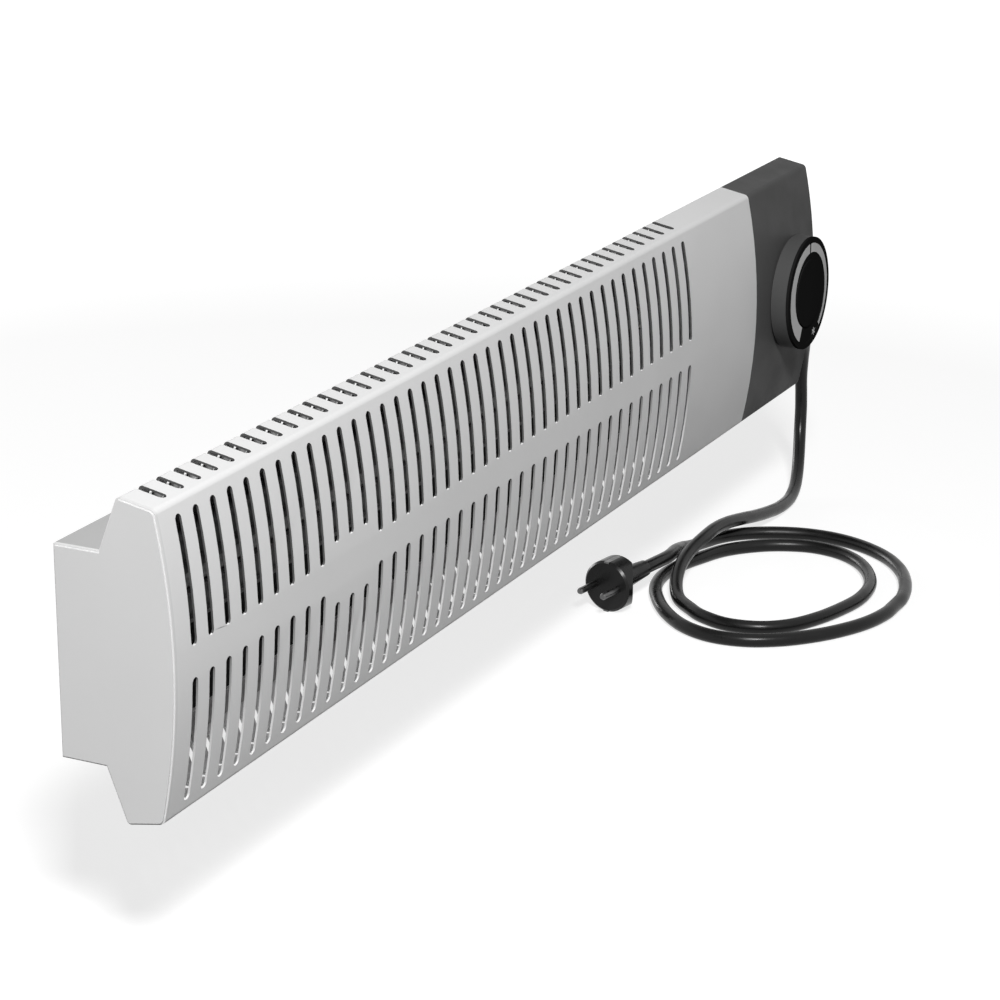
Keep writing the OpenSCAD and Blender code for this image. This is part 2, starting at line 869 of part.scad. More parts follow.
module thermostat_screws() {
    color("silver") both_z() translate([x_knob, y_crown + stat_sink, stat_screw_z])
        screw_y(y_pad - y_crown - stat_sink + stat_screw_in, stat_screw_r, stat_head_r, stat_head_h);
}

// D section shared by the shaft's end and the hub's bore
module d_section(r) {
    intersection() {
        circle(r = r);
        translate([-r, -r]) square([2 * r, r + r * flat_share]);
    }
}

module thermostat_shaft() {
    y_tip = y_knob - (knob_h - face_t - knob_front_t) + shaft_end_gap;
    y_round = y_crown - shaft_end_gap / 2;
    color("silver") translate([x_knob, 0, 0]) {
        rod_y(y_round, y_pad + shaft_in - shaft_end_gap - y_round, shaft_r);
        along_y(y_tip, y_crown - y_tip) d_section(shaft_r);
    }
}

// Hollow knob: a skirt, a front plate and a hub with a D bore
module knob_body() {
    y_plate = y_face + face_t;
    inner_l = knob_h - face_t - knob_front_t;
    color("#505050") translate([x_knob, 0, 0]) difference() {
        rod_y(y_plate, knob_h - face_t, knob_r, $fn = 96);
        difference() {
            rod_y(y_plate + knob_front_t, inner_l + over, knob_r - knob_wall);
            rod_y(y_plate, knob_h, hub_r);
        }
        along_y(y_plate + knob_front_t, inner_l + over) d_section(shaft_r + rod_gap / 2);
    }
}

module knob_face() {
    color("#161616") translate([x_knob, 0, 0]) {
        rod_y(y_face, face_t, knob_r);
        rod_y(y_face - disc_rise, disc_rise + face_t / 2, disc_r);
        difference() {
            rod_y(y_face - disc_rise / 2, disc_rise / 2 + face_t, knob_r);
            rod_y(y_face - disc_rise - over, disc_rise + over, knob_r - face_rim_w);
        }
    }
}

// Inner radius of the wedge, which widens steadily towards its warm end
function wedge_in(t) = wedge_r - wedge_thin - (wedge_wide - wedge_thin) * t;
function wedge_dir(t) = wedge_mid_deg - wedge_span_deg / 2 + wedge_span_deg * t;

module temperature_wedge() {
    steps = [for (k = [0 : wedge_steps]) k / wedge_steps];
    inner = [for (t = steps) wedge_in(t) * [cos(wedge_dir(t)), sin(wedge_dir(t))]];
    outer = [for (t = steps) 2 * wedge_r * [cos(wedge_dir(1 - t)), sin(wedge_dir(1 - t))]];
    color("darkgray") translate([x_knob, 0, 0]) along_y(y_face - wedge_t, wedge_t) {
        difference() {
            intersection() {
                circle(r = wedge_r);
                polygon(concat(inner, outer));
            }
            translate([-mark_w / 2, 0]) square([mark_w, reach]);
        }
        frost_mark();
    }
}

// Three crossed bars at the coldest setting, and a break in the wedge at the middle one
module frost_mark() {
    translate(frost_at_r * [cos(frost_deg), sin(frost_deg)])
        for (turn = [0, 60, 120]) rotate(turn) square([frost_bar, frost_d], center = true);
}

// Terminal block with three poles
function pole_z(k) = block_z + (k - (pole_n - 1) / 2) * pole_pitch;

module terminal_block() {
    color("white") difference() {
        union() {
            translate([block_x - block_w / 2, y_back - sheet_t - block_d, block_z - block_h / 2])
                cube([block_w, block_d, block_h]);
            for (k = [0 : pole_n - 1])
                translate([block_x - block_w / 2, y_barrel, pole_z(k) - barrel_w / 2])
                    cube([block_w, barrel_rise + block_d / 2, barrel_w]);
        }
        for (k = [0 : pole_n - 1]) {
            translate([0, pole_y, pole_z(k)])
                rod_x(block_x - block_w / 2 - over, block_w + 2 * over, pole_bore_r);
            for (s = [-1, 1]) translate([block_x + s * block_w / 4, 0, pole_z(k)])
                rod_y(y_barrel - over, pole_screw_in + over, pole_screw_r + screw_gap);
        }
    }
}

module terminal_screws() {
    color("gold") for (k = [0 : pole_n - 1]) for (s = [-1, 1])
        translate([block_x + s * block_w / 4, 0, pole_z(k)])
            rod_y(y_barrel + pole_screw_sink, pole_screw_in - 2 * pole_screw_sink, pole_screw_r);
}

module earth_screw() {
    color("gold") translate([earth_x, y_back - sheet_t, earth_z]) {
        rod_y(-washer_t, washer_t, washer_r);
        translate([0, -washer_t, 0]) screw_y(grille_screw_len, screw_r, screw_head_r, screw_head_h);
    }
}

module cord_gland() {
    color("#1a1a1a") translate([0, cord_y, cord_z]) difference() {
        union() {
            rod_x(x_right - control_wall - gland_flange_t / 2, control_wall + gland_flange_t, gland_r);
            rod_x(x_right, gland_flange_t, gland_flange_r);
            rod_x(x_right - control_wall - gland_flange_t, gland_flange_t, gland_nut_r);
            translate([x_right + gland_flange_t, 0, 0]) rotate([0, 90, 0])
                cylinder(h = gland_nose_l, r1 = gland_r, r2 = gland_nose_r);
        }
        rod_x(x_right - control_wall - gland_flange_t - over,
            control_wall + 2 * gland_flange_t + gland_nose_l + 2 * over, cord_r + cord_fit);
    }
}

module cord_clamp() {
    color("#303030") difference() {
        translate([clamp_x - clamp_w / 2, cord_y - clamp_span / 2, cord_z + clamp_bite])
            cube([clamp_w, clamp_span, cord_r + clamp_t - clamp_bite]);
        translate([0, cord_y, cord_z]) rod_x(clamp_x - clamp_w, 2 * clamp_w, cord_r + cord_fit);
        for (s = [-1, 1]) translate([clamp_x, cord_y + s * clamp_screw_y, cord_z - over])
            cylinder(h = cord_r + clamp_t + 2 * over, r = screw_r + screw_gap);
    }
}

module clamp_screws() {
    color("silver") for (s = [-1, 1])
        translate([clamp_x, cord_y + s * clamp_screw_y, cord_z + cord_r + clamp_t]) {
            cylinder(h = screw_head_h, r = screw_head_r);
            translate([0, 0, -cord_r - clamp_t - clamp_screw_in])
                cylinder(h = cord_r + clamp_t + clamp_screw_in, r = screw_r);
        }
}

module cord_tail() {
    color("#202020") translate([0, cord_y, cord_z]) rod_x(tail_end, x_cord - tail_end, cord_r);
}

// A round tube through a list of points: each ring lies square to the way through it
function unit(v) = v / norm(v);
function way(p, i) = i == 0 ? unit(p[1] - p[0])
    : i == len(p) - 1 ? unit(p[i] - p[i - 1])
    : unit(unit(p[i + 1] - p[i]) + unit(p[i] - p[i - 1]));
function slide_on(u, d) = unit(u - (u * d) * d);
function first_up(d) = slide_on(abs(d[2]) > abs(d[0]) ? [1, 0, 0] : [0, 0, 1], d);
function ups(p, i) = i == 0 ? [first_up(way(p, 0))]
    : let (before = ups(p, i - 1)) concat(before, [slide_on(before[i - 1], way(p, i))]);

module tube(p, r, sides) {
    u = ups(p, len(p) - 1);
    rings = [for (i = [0 : len(p) - 1]) let (w = way(p, i), v = cross(w, u[i]))
        for (k = [0 : sides - 1]) let (a = 360 * (k + 1 / 2) / sides)
            p[i] + r * (cos(a) * u[i] + sin(a) * v)];
    side = [for (i = [0 : len(p) - 2]) for (k = [0 : sides - 1]) let (n = (k + 1) % sides)
        each [
            [i * sides + k, i * sides + n, (i + 1) * sides + n],
            [i * sides + k, (i + 1) * sides + n, (i + 1) * sides + k]
        ]];
    last = (len(p) - 1) * sides;
    caps = [for (k = [1 : sides - 2]) each [[0, k + 1, k], [last, last + k, last + k + 1]]];
    polyhedron(points = rings, faces = [for (f = concat(side, caps)) [f[0], f[2], f[1]]]);
}

// Inner wires, each a short list of points between two named places
pole_in = 6;
left_bore = block_x - block_w / 2 + pole_in;
right_bore = block_x + block_w / 2 - pole_in;
wire_sides = 6;
tab_y = y_pad + stat_d + tab_l;
tab_x = stat_w / 4;
cutout_x = x_part + sheet_t + cutout_l + tab_l;
rod_tip = x_rod_right + terminal_l;
loop = 8;

// The three cores leave the cord one after the other, the one for the top pole first
function core_start(k) = [tail_end, cord_y, cord_z]
    + core_ring * [0, cos(-120 * k - 90), sin(-120 * k - 90)];
function core_lead(k) = loop / 2 + (pole_n - 1 - k) * core_step;
function core_route(k) = [
    core_start(k),
    core_start(k) - [core_lead(k), 0, 0],
    [tail_end - core_lead(k) - loop / 2, cord_y + 2 * loop, cord_z + core_share * (pole_z(k) - cord_z)],
    [block_x + block_w / 2 + loop, pole_y - loop / 4, pole_z(k)],
    [block_x + block_w / 2 + loop / 2, pole_y, pole_z(k)],
    [right_bore, pole_y, pole_z(k)]
];

module cord_cores() {
    colors = ["green", "blue", "brown"];
    for (k = [0 : pole_n - 1]) color(colors[k]) tube(core_route(k), core_r, wire_sides);
}

module live_wires() {
    top_pole = pole_z(pole_n - 1);
    x_out = block_x - block_w / 2;
    color("brown") {
        tube([
            [left_bore, pole_y, top_pole],
            [x_out - loop / 2, pole_y, top_pole],
            [x_out - loop, pole_y - loop, top_pole + loop],
            [x_out, pole_y - 2 * loop, top_pole + 3 * loop],
            [block_x + loop, tab_y + loop / 2, top_pole + 4 * loop],
            [x_split + loop, tab_y + loop, 2 * loop],
            [x_knob - tab_x - loop, tab_y + loop, loop / 2],
            [x_knob - tab_x, tab_y + loop / 2, 0],
            [x_knob - tab_x, tab_y, 0]
        ], wire_r, wire_sides);
        tube([
            [x_knob + tab_x, tab_y, 0],
            [x_knob + tab_x, tab_y + loop / 2, 0],
            [x_knob + tab_x - loop / 2, tab_y + 2 * loop, loop],
            [x_knob - loop, tab_y + 2 * loop, 3 * loop],
            [x_split, y_box, cutout_z - loop / 2],
            [block_x - loop, y_box, cutout_z],
            [cutout_x + 2 * loop, cutout_y + cutout_r, cutout_z],
            [cutout_x + loop, cutout_y + cutout_r / 2, cutout_z],
            [cutout_x, cutout_y + cutout_r / 2, cutout_z]
        ], wire_r, wire_sides);
        tube([
            [cutout_x, cutout_y - cutout_r / 2, cutout_z],
            [cutout_x + loop, cutout_y - cutout_r / 2, cutout_z],
            [cutout_x + 2 * loop, cutout_y + cutout_r / 2, cutout_z - 2 * loop],
            [rod_tip + 2 * loop, y_el - loop / 2, z_el + loop],
            [rod_tip + loop, y_el, z_el],
            [rod_tip, y_el, z_el]
        ], wire_r, wire_sides);
    }
}

// Neutral wire: through the grommet and along the box to the rod's left end
module neutral_wire() {
    x_out = block_x - block_w / 2;
    x_low = x_rod_left - terminal_l;
    color("blue") tube([
        [left_bore, pole_y, pole_z(1)],
        [x_out - loop / 2, pole_y, pole_z(1)],
        [x_out - 2 * loop, pole_y, (pole_z(1) + wire_z) / 2],
        [x_part + 3 * loop, wire_y, wire_z + loop / 4],
        [x_part + loop, wire_y, wire_z],
        [x_part - loop, wire_y, wire_z],
        [(x_part + x_bracket) / 2, wire_y, wire_z - loop / 2],
        [x_bracket, wire_y, wire_z],
        [x_low - loop, wire_y, wire_z + loop],
        [x_low - 2 * loop, (wire_y + y_el) / 2, (wire_z + z_el) / 2],
        [x_low - loop, y_el, z_el],
        [x_low, y_el, z_el]
    ], wire_r, wire_sides);
}

module earth_wire() {
    x_out = block_x - block_w / 2;
    color("limegreen") tube([
        [left_bore, pole_y, pole_z(0)],
        [x_out - loop / 2, pole_y, pole_z(0)],
        [x_out - loop, pole_y, pole_z(0) - loop / 2],
        [x_out - loop / 2, y_back - sheet_t - 2 * wire_r, earth_z + loop / 4],
        [x_out + loop / 2, y_back - sheet_t - wire_r - washer_t / 2, earth_z],
        [earth_x - washer_r, y_back - sheet_t - wire_r - washer_t / 2, earth_z]
    ], wire_r, wire_sides);
}

// Wall bracket: a channel on the wall with two hooks that pass into the casing
hook_top = z_flange - 2 * flange_rise - sheet_t;
hook_h = 6;
hook_lip = 5;
hook_wall = 2;
hook_gap = 0.2;
hook_drop = 7;
bracket_top = hook_top + hook_gap;
bracket_bottom = -z_box + flange_rise;

bracket_x = x_part - bracket_part_gap;

function hook_xs() = [for (s = [-1, 1]) for (t = [-1, 1])
    s * bracket_x + t * (bracket_w / 2 - bracket_t / 2)];

module hook_windows() {
    for (x = hook_xs())
        translate([x - bracket_t / 2 - hook_gap, y_back - sheet_t - over, hook_top - hook_h - hook_drop])
            cube([bracket_t + 2 * hook_gap, sheet_t + 2 * over, hook_h + hook_drop]);
}

// A flange of the bracket with its hook, seen from the side
module bracket_flange() {
    y_neck = y_back - sheet_t - hook_gap;
    polygon([
        [0, bracket_bottom], [0, bracket_top], [y_back, bracket_top], [y_back, hook_top],
        [y_neck, hook_top], [y_neck, hook_top + hook_lip],
        [y_neck - hook_wall, hook_top + hook_lip - hook_wall / 2],
        [y_neck - hook_wall, hook_top - hook_h], [y_back, hook_top - hook_h], [y_back, bracket_bottom]
    ]);
}

module wall_brackets() {
    color("lightsteelblue") for (s = [-1, 1]) difference() {
        union() {
            translate([s * bracket_x - bracket_w / 2, -bracket_t, bracket_bottom])
                cube([bracket_w, bracket_t, bracket_top - bracket_bottom]);
            for (t = [-1, 1])
                along_x(s * bracket_x + t * (bracket_w - bracket_t) / 2 - bracket_t / 2, bracket_t)
                    bracket_flange();
        }
        both_z() translate([s * bracket_x, 0, bracket_hole_h / 2])
            rod_y(-bracket_t - over, bracket_t + 2 * over, bracket_hole_r);
    }
}

// Frame of the plug: its face is at the origin and its pins point along +Z
module at_plug() {
    translate([plug_x, plug_y, floor_z + plug_r]) rotate([0, 0, plug_heading_deg])
        rotate([0, 90, 0]) children();
}

plug_l = plug_d + plug_tail_l;
plug_dir = [cos(plug_heading_deg), sin(plug_heading_deg), 0];
plug_end = [plug_x, plug_y, floor_z + plug_r] - plug_l * plug_dir;

cord_path = concat(cord_route, [plug_end - 2 * cord_r * plug_dir, plug_end]);

module power_cord() {
    color("#202020") tube(cord_path, cord_r, cord_sides);
}

// Least gap between stretches of the cord that pass each other, on points along it
gap_steps = 5;
gap_skip = 12;
cord_points = [for (i = [0 : len(cord_path) - 2]) for (t = [0 : gap_steps - 1])
    cord_path[i] + (cord_path[i + 1] - cord_path[i]) * t / gap_steps];
function gaps_from(i) = [for (j = [i + gap_skip : len(cord_points) - 1])
    norm(cord_points[j] - cord_points[i])];
cord_gaps = [for (i = [0 : len(cord_points) - 1 - gap_skip]) min(gaps_from(i))];
cord_length = [for (i = [1 : len(cord_path) - 1]) norm(cord_path[i] - cord_path[i - 1])]
    * [for (i = [1 : len(cord_path) - 1]) 1];
echo(least_cord_gap = min(cord_gaps) - 2 * cord_r, cord_length = cord_length);

// Round plug body that narrows to both sides towards its tapered rubber sleeve
module plug_body() {
    color("#141414") at_plug() difference() {
        intersection() {
            rotate_extrude() polygon([
                [0, 0], [plug_r - plug_edge, 0], [plug_r, -plug_edge],
                [plug_r, -plug_d + plug_rear_edge], [plug_r - plug_rear_edge, -plug_d],
                [plug_neck_r, -plug_d], [plug_tail_r, -plug_l], [0, -plug_l]
            ]);
            along_x(-plug_r - over, 2 * (plug_r + over)) polygon([
                [-plug_r - over, over], [plug_r + over, over], [plug_r + over, -plug_flat_from],
                [plug_flat_w, -plug_d], [plug_flat_w, -plug_l - over],
                [-plug_flat_w, -plug_l - over], [-plug_flat_w, -plug_d],
                [-plug_r - over, -plug_flat_from]
            ]);
        }
        for (s = [-1, 1]) translate([0, s * pin_pitch / 2, -pin_sunk])
            cylinder(h = pin_sunk + over, r = pin_r + rod_gap);
        both_sides() translate([plug_r - strip_t - fit_gap, -strip_w / 2 - fit_gap, -strip_in])
            cube([strip_t + fit_gap + over, strip_w + 2 * fit_gap, strip_in + over]);
    }
}

module plug_pins() {
    color("silver") at_plug() for (s = [-1, 1]) translate([0, s * pin_pitch / 2, 0]) {
        translate([0, 0, -pin_sunk]) cylinder(h = pin_sunk + pin_l - pin_tip, r = pin_r);
        translate([0, 0, pin_l - pin_tip]) cylinder(h = pin_tip, r1 = pin_r, r2 = pin_r - pin_tip / 2);
    }
}

module plug_earth_strips() {
    color("silver") at_plug() both_sides()
        translate([plug_r - strip_t - fit_gap, -strip_w / 2, -strip_in])
            cube([strip_t, strip_w, strip_in]);
}

front_grille();
rear_casing();
left_end_cap();
control_housing();
grille_screws();
end_screws();
partition_plate();
partition_screws();
wire_grommet();
element_bracket();
bracket_screws();
rod_bushes();
heating_rod();
rod_insulators();
rod_terminals();
element_profile();
heat_shield();
thermal_cutout();
thermostat_body();
thermostat_screws();
thermostat_shaft();
knob_body();
knob_face();
temperature_wedge();
terminal_block();
terminal_screws();
earth_screw();
cord_gland();
cord_clamp();
clamp_screws();
cord_tail();
cord_cores();
live_wires();
neutral_wire();
earth_wire();
wall_brackets();
power_cord();
plug_body();
plug_pins();
plug_earth_strips();
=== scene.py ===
import json
import math
import bpy
from mathutils import Matrix, Vector


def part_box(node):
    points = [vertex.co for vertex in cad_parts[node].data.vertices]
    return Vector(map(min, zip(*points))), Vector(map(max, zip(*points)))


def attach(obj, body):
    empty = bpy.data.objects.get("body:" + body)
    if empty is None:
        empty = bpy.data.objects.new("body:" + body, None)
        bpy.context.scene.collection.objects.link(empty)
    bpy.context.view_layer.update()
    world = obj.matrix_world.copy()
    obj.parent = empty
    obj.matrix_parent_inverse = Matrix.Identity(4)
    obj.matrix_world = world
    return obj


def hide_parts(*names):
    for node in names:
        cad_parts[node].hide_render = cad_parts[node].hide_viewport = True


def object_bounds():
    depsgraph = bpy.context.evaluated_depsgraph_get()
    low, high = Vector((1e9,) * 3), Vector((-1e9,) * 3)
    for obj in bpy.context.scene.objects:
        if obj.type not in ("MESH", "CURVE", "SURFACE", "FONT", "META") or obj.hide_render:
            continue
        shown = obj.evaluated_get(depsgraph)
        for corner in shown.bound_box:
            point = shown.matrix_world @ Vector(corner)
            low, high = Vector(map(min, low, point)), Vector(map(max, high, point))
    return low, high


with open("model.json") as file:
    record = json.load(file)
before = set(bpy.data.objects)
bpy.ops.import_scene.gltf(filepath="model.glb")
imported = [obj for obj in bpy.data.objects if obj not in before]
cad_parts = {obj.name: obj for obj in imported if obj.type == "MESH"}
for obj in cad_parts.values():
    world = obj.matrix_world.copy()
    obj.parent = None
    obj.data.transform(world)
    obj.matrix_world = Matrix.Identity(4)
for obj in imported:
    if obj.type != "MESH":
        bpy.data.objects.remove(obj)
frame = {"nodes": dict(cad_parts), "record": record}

cad_low, cad_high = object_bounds()
SCENE = bpy.context.scene
NODES = frame["nodes"]
MM = 0.001

# Camera: place and axes of the photograph's view, in the part's frame
CAMERA_AT = Vector((-1.661, -0.849, 0.568))
CAMERA_AHEAD = Vector((0.852, 0.417, -0.316))
CAMERA_RIGHT = Vector((0.4407, -0.8976, 0.0038))
LENS_MM = 110.74
SENSOR_MM = 36.0
FLOOR_Z = -0.185


def add_camera():
    data = bpy.data.cameras.new("view")
    data.lens = LENS_MM
    data.sensor_width = SENSOR_MM
    data.sensor_fit = "HORIZONTAL"
    data.clip_start = 0.05
    data.clip_end = 60.0
    ahead = CAMERA_AHEAD.normalized()
    right = (CAMERA_RIGHT - CAMERA_RIGHT.dot(ahead) * ahead).normalized()
    up = right.cross(ahead)
    turn = Matrix((right, up, -ahead)).transposed().to_4x4()
    camera = bpy.data.objects.new("view", data)
    camera.matrix_world = Matrix.Translation(CAMERA_AT) @ turn
    SCENE.collection.objects.link(camera)
    SCENE.camera = camera


add_camera()


# The cord's route in millimetres, from the gland to the plug's tail
CORD_ROUTE = [
    (470, -57, -53), (476, -57, -53), (488, -56, -54.5), (499, -53, -59), (508.5, -49.5, -66.5),
    (516.5, -46, -76), (522.5, -43, -88.5), (526.5, -41, -103), (528.5, -41, -124), (522.5, -43, -145),
    (509.5, -47.5, -162), (497, -51.5, -171), (482.5, -55.5, -176.5), (467, -58.5, -179.5),
    (451, -60.5, -180), (429.5, -61.5, -178.5), (407.5, -61, -175.5), (386, -59.5, -172),
    (364.5, -57.5, -168), (342.5, -55.5, -164.5), (321, -54, -163), (299, -53.5, -164), (277, -53, -166.5),
    (255.5, -55, -170),
    (234.5, -60.5, -175), (215.5, -70.5, -179.5), (200.5, -86, -180), (191, -99, -180.2), (184, -120, -180.2),
    (188, -142, -180.2), (201, -159, -180.2), (222, -171, -180.2), (246, -179, -180.2), (272, -184, -180.2),
    (299, -182, -180.2), (323, -173, -180.2), (344, -158, -180.2), (358, -138, -180.2), (362, -115, -180.2),
    (355, -92, -180.2), (342, -74, -180.2), (325, -60, -180.2), (303, -51, -180.2), (280, -44, -180.2),
    (256, -41.5, -180.2), (232, -46, -180.2), (208, -58, -180.2), (186, -74, -180.2), (168, -94, -180.2),
    (159, -117, -180.2), (161, -141, -180.2), (172, -162, -180.2), (189, -180, -180.2), (210, -195, -180.2),
    (234, -206, -180.2), (261, -211, -180.2), (289, -210, -180.2), (316, -203, -180.2), (341, -191, -180.2),
    (362, -174, -180.2), (377, -153, -180.2), (386, -129, -180.2), (387, -104, -180.2), (380, -80, -180.2),
    (367, -59, -180.2), (352, -46.5, -180.2), (335, -41, -179.5), (315, -38.5, -177), (296, -38.5, -172.5),
    (279, -40.5, -169), (261, -42.5, -167.5),
]
CORD_R = 0.00475

# The middle of the plug's face, the way its pins point, and how far the cord's end is behind the face
PLUG_FACE = Vector((181, -30, -166.5)) * MM
PLUG_HEADING = math.radians(170)
PLUG_WAY = Vector((math.cos(PLUG_HEADING), math.sin(PLUG_HEADING), 0.0))
PLUG_LENGTH = 0.048

# The smooth cord has this many sides, and this many steps between two points of its route
CORD_RING = 24
CORD_FINE = 6

# A rounded corner has this many steps, and takes no more than this share of each side
BEND_FINE = 5
BEND_SHARE = 0.45


def catmull(points, fine):
    """A smooth line through the points, with fine steps between each two."""
    line = []
    ends = [points[0] * 2 - points[1]] + points + [points[-1] * 2 - points[-2]]
    for i in range(1, len(ends) - 2):
        a, b, c, d = ends[i - 1:i + 3]
        for k in range(fine):
            t = k / fine
            line.append(0.5 * (2 * b + (c - a) * t + (2 * a - 5 * b + 4 * c - d) * t ** 2
                               + (3 * b - a - 3 * c + d) * t ** 3))
    line.append(points[-1].copy())
    return line


def ring_frames(line):
    """A way and an up vector at each point, turned as little as possible along the line."""
    ways = []
    for i in range(len(line)):
        before = line[max(i - 1, 0)]
        after = line[min(i + 1, len(line) - 1)]
        ways.append((after - before).normalized())
    up = Vector((0, 0, 1))
    frames = []
    for way in ways:
        up = (up - up.dot(way) * way).normalized()
        frames.append((way, up))
    return frames


def mesh_object(name, verts, faces, smooth=True):
    mesh = bpy.data.meshes.new(name)
    mesh.from_pydata([tuple(v) for v in verts], [], faces)
    mesh.validate()
    mesh.polygons.foreach_set("use_smooth", [smooth] * len(mesh.polygons))
    mesh.update()
    piece = bpy.data.objects.new(name, mesh)
    SCENE.collection.objects.link(piece)
    return piece


def tube_mesh(name, lines, radius, ring):
    """Closed round tubes, one along each line, with UVs that count metres along it and turns round it.
    The faces of tube number k take the material in slot k."""
    verts, faces, uvs, slots = [], [], [], []
    for slot, line in enumerate(lines):
        first = len(verts)
        run = 0.0
        runs = []
        for i, (point, (way, up)) in enumerate(zip(line, ring_frames(line))):
            side = way.cross(up)
            if i:
                run += (point - line[i - 1]).length
            runs.append(run)
            for k in range(ring):
                a = 2 * math.pi * k / ring
                verts.append(point + radius * (math.cos(a) * up + math.sin(a) * side))
        for i in range(len(line) - 1):
            here = first + i * ring
            there = here + ring
            for k in range(ring):
                n = (k + 1) % ring
                faces.append((here + k, here + n, there + n, there + k))
                u0 = k / ring
                u1 = (k + 1) / ring
                uvs += [(u0, runs[i]), (u1, runs[i]), (u1, runs[i + 1]), (u0, runs[i + 1])]
        last = first + (len(line) - 1) * ring
        faces.append(tuple(reversed(range(first, first + ring))))
        faces.append(tuple(range(last, last + ring)))
        uvs += [(0.5, 0.0)] * ring + [(0.5, run)] * ring
        slots += [slot] * (len(faces) - len(slots))
    piece = mesh_object(name, verts, faces)
    piece.data.polygons.foreach_set("material_index", slots)
    layer = piece.data.uv_layers.new(name="along")
    for loop, uv in zip(layer.data, uvs):
        loop.uv = uv
    return piece


def rounded(points, bend):
    """The line through the points with each corner rounded off inside it."""
    line = [points[0]]
    for before, corner, after in zip(points, points[1:], points[2:]):
        back = before - corner
        on = after - corner
        start = corner + back.normalized() * min(bend, BEND_SHARE * back.length)
        end = corner + on.normalized() * min(bend, BEND_SHARE * on.length)
        for k in range(BEND_FINE + 1):
            t = k / BEND_FINE
            line.append((1 - t) ** 2 * start + 2 * t * (1 - t) * corner + t ** 2 * end)
    line.append(points[-1])
    return line


def cord_line():
    """The cord's centreline. Where the smooth line would leave the CAD box, it keeps to its inside."""
    points = [Vector(p) * MM for p in CORD_ROUTE]
    end = PLUG_FACE - PLUG_LENGTH * PLUG_WAY
    points += [end - 2 * CORD_R * PLUG_WAY, end]
    line = catmull(points, CORD_FINE)
    for point in line:
        point.x = min(point.x, cad_high[0] - CORD_R)
        point.y = max(point.y, cad_low[1] + CORD_R)
        point.z = max(point.z, cad_low[2] + CORD_R)
    return line


CORD_LINE = cord_line()
power_lead = tube_mesh("power_lead", [CORD_LINE], CORD_R, CORD_RING)
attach(power_lead, "heater")
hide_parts("power_cord")


# The wires inside, in millimetres. Each goes from one node to another, as in the CAD. Loop is the room that a
# wire has for a turn
WIRE_R = 1.4
WIRE_RING = 14
WIRE_BEND = 6.0
LOOP = 8.0

# The terminal block's depth behind its raised barrels, the step of its bores, and how far in a wire goes
BLOCK_DEPTH = 15.0
POLE_PITCH = 7.0
POLE_IN = 6.0

# The washer under the earth screw, and the front edge of the casing
WASHER_T = 1.0
CASING_FRONT_Y = -33.0

# The cores lie on a ring in the cord, leave it one step after the other and climb most of the way at once
CORE_COUNT = 3
CORE_RING = 2.3
CORE_STEP = 3.5
CORE_CLIMB = 0.75


def corners(node):
    """A node's lowest corner, its highest corner and its middle."""
    low, high = (Vector(corner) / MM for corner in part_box(node))
    return low, high, (low + high) / 2


block_low, block_high, block_mid = corners("terminal_block")
rod_low, rod_high, rod_mid = corners("rod_terminals")
casing_low, casing_high, _ = corners("rear_casing")
PARTITION_X = corners("partition_plate")[0].x
BRACKET_X = corners("element_bracket")[0].x
POLE_Y = block_high.y - BLOCK_DEPTH / 2


def pole_z(k):
    """The height of a bore of the terminal block: 0 is the earth's, 1 the neutral's and 2 the live one's."""
    return block_mid.z + (k - 1) * POLE_PITCH


def core_route(k):
    """A core of the cord, up to its bore. The one for the top bore leaves the cord first."""
    tail_low, _, tail_mid = corners("cord_tail")
    turn = -2 * math.pi * k / CORE_COUNT - math.pi / 2
    y = tail_mid.y + CORE_RING * math.cos(turn)
    z = tail_mid.z + CORE_RING * math.sin(turn)
    bend_x = tail_low.x - LOOP / 2 - (CORE_COUNT - 1 - k) * CORE_STEP
    climb_z = tail_mid.z + CORE_CLIMB * (pole_z(k) - tail_mid.z)
    return [
        (tail_low.x, y, z),
        (bend_x, y, z),
        (bend_x - LOOP / 2, tail_mid.y + 2 * LOOP, climb_z),
        (block_high.x + LOOP, POLE_Y - LOOP / 4, pole_z(k)),
        (block_high.x + LOOP / 2, POLE_Y, pole_z(k)),
        (block_high.x - POLE_IN, POLE_Y, pole_z(k)),
    ]


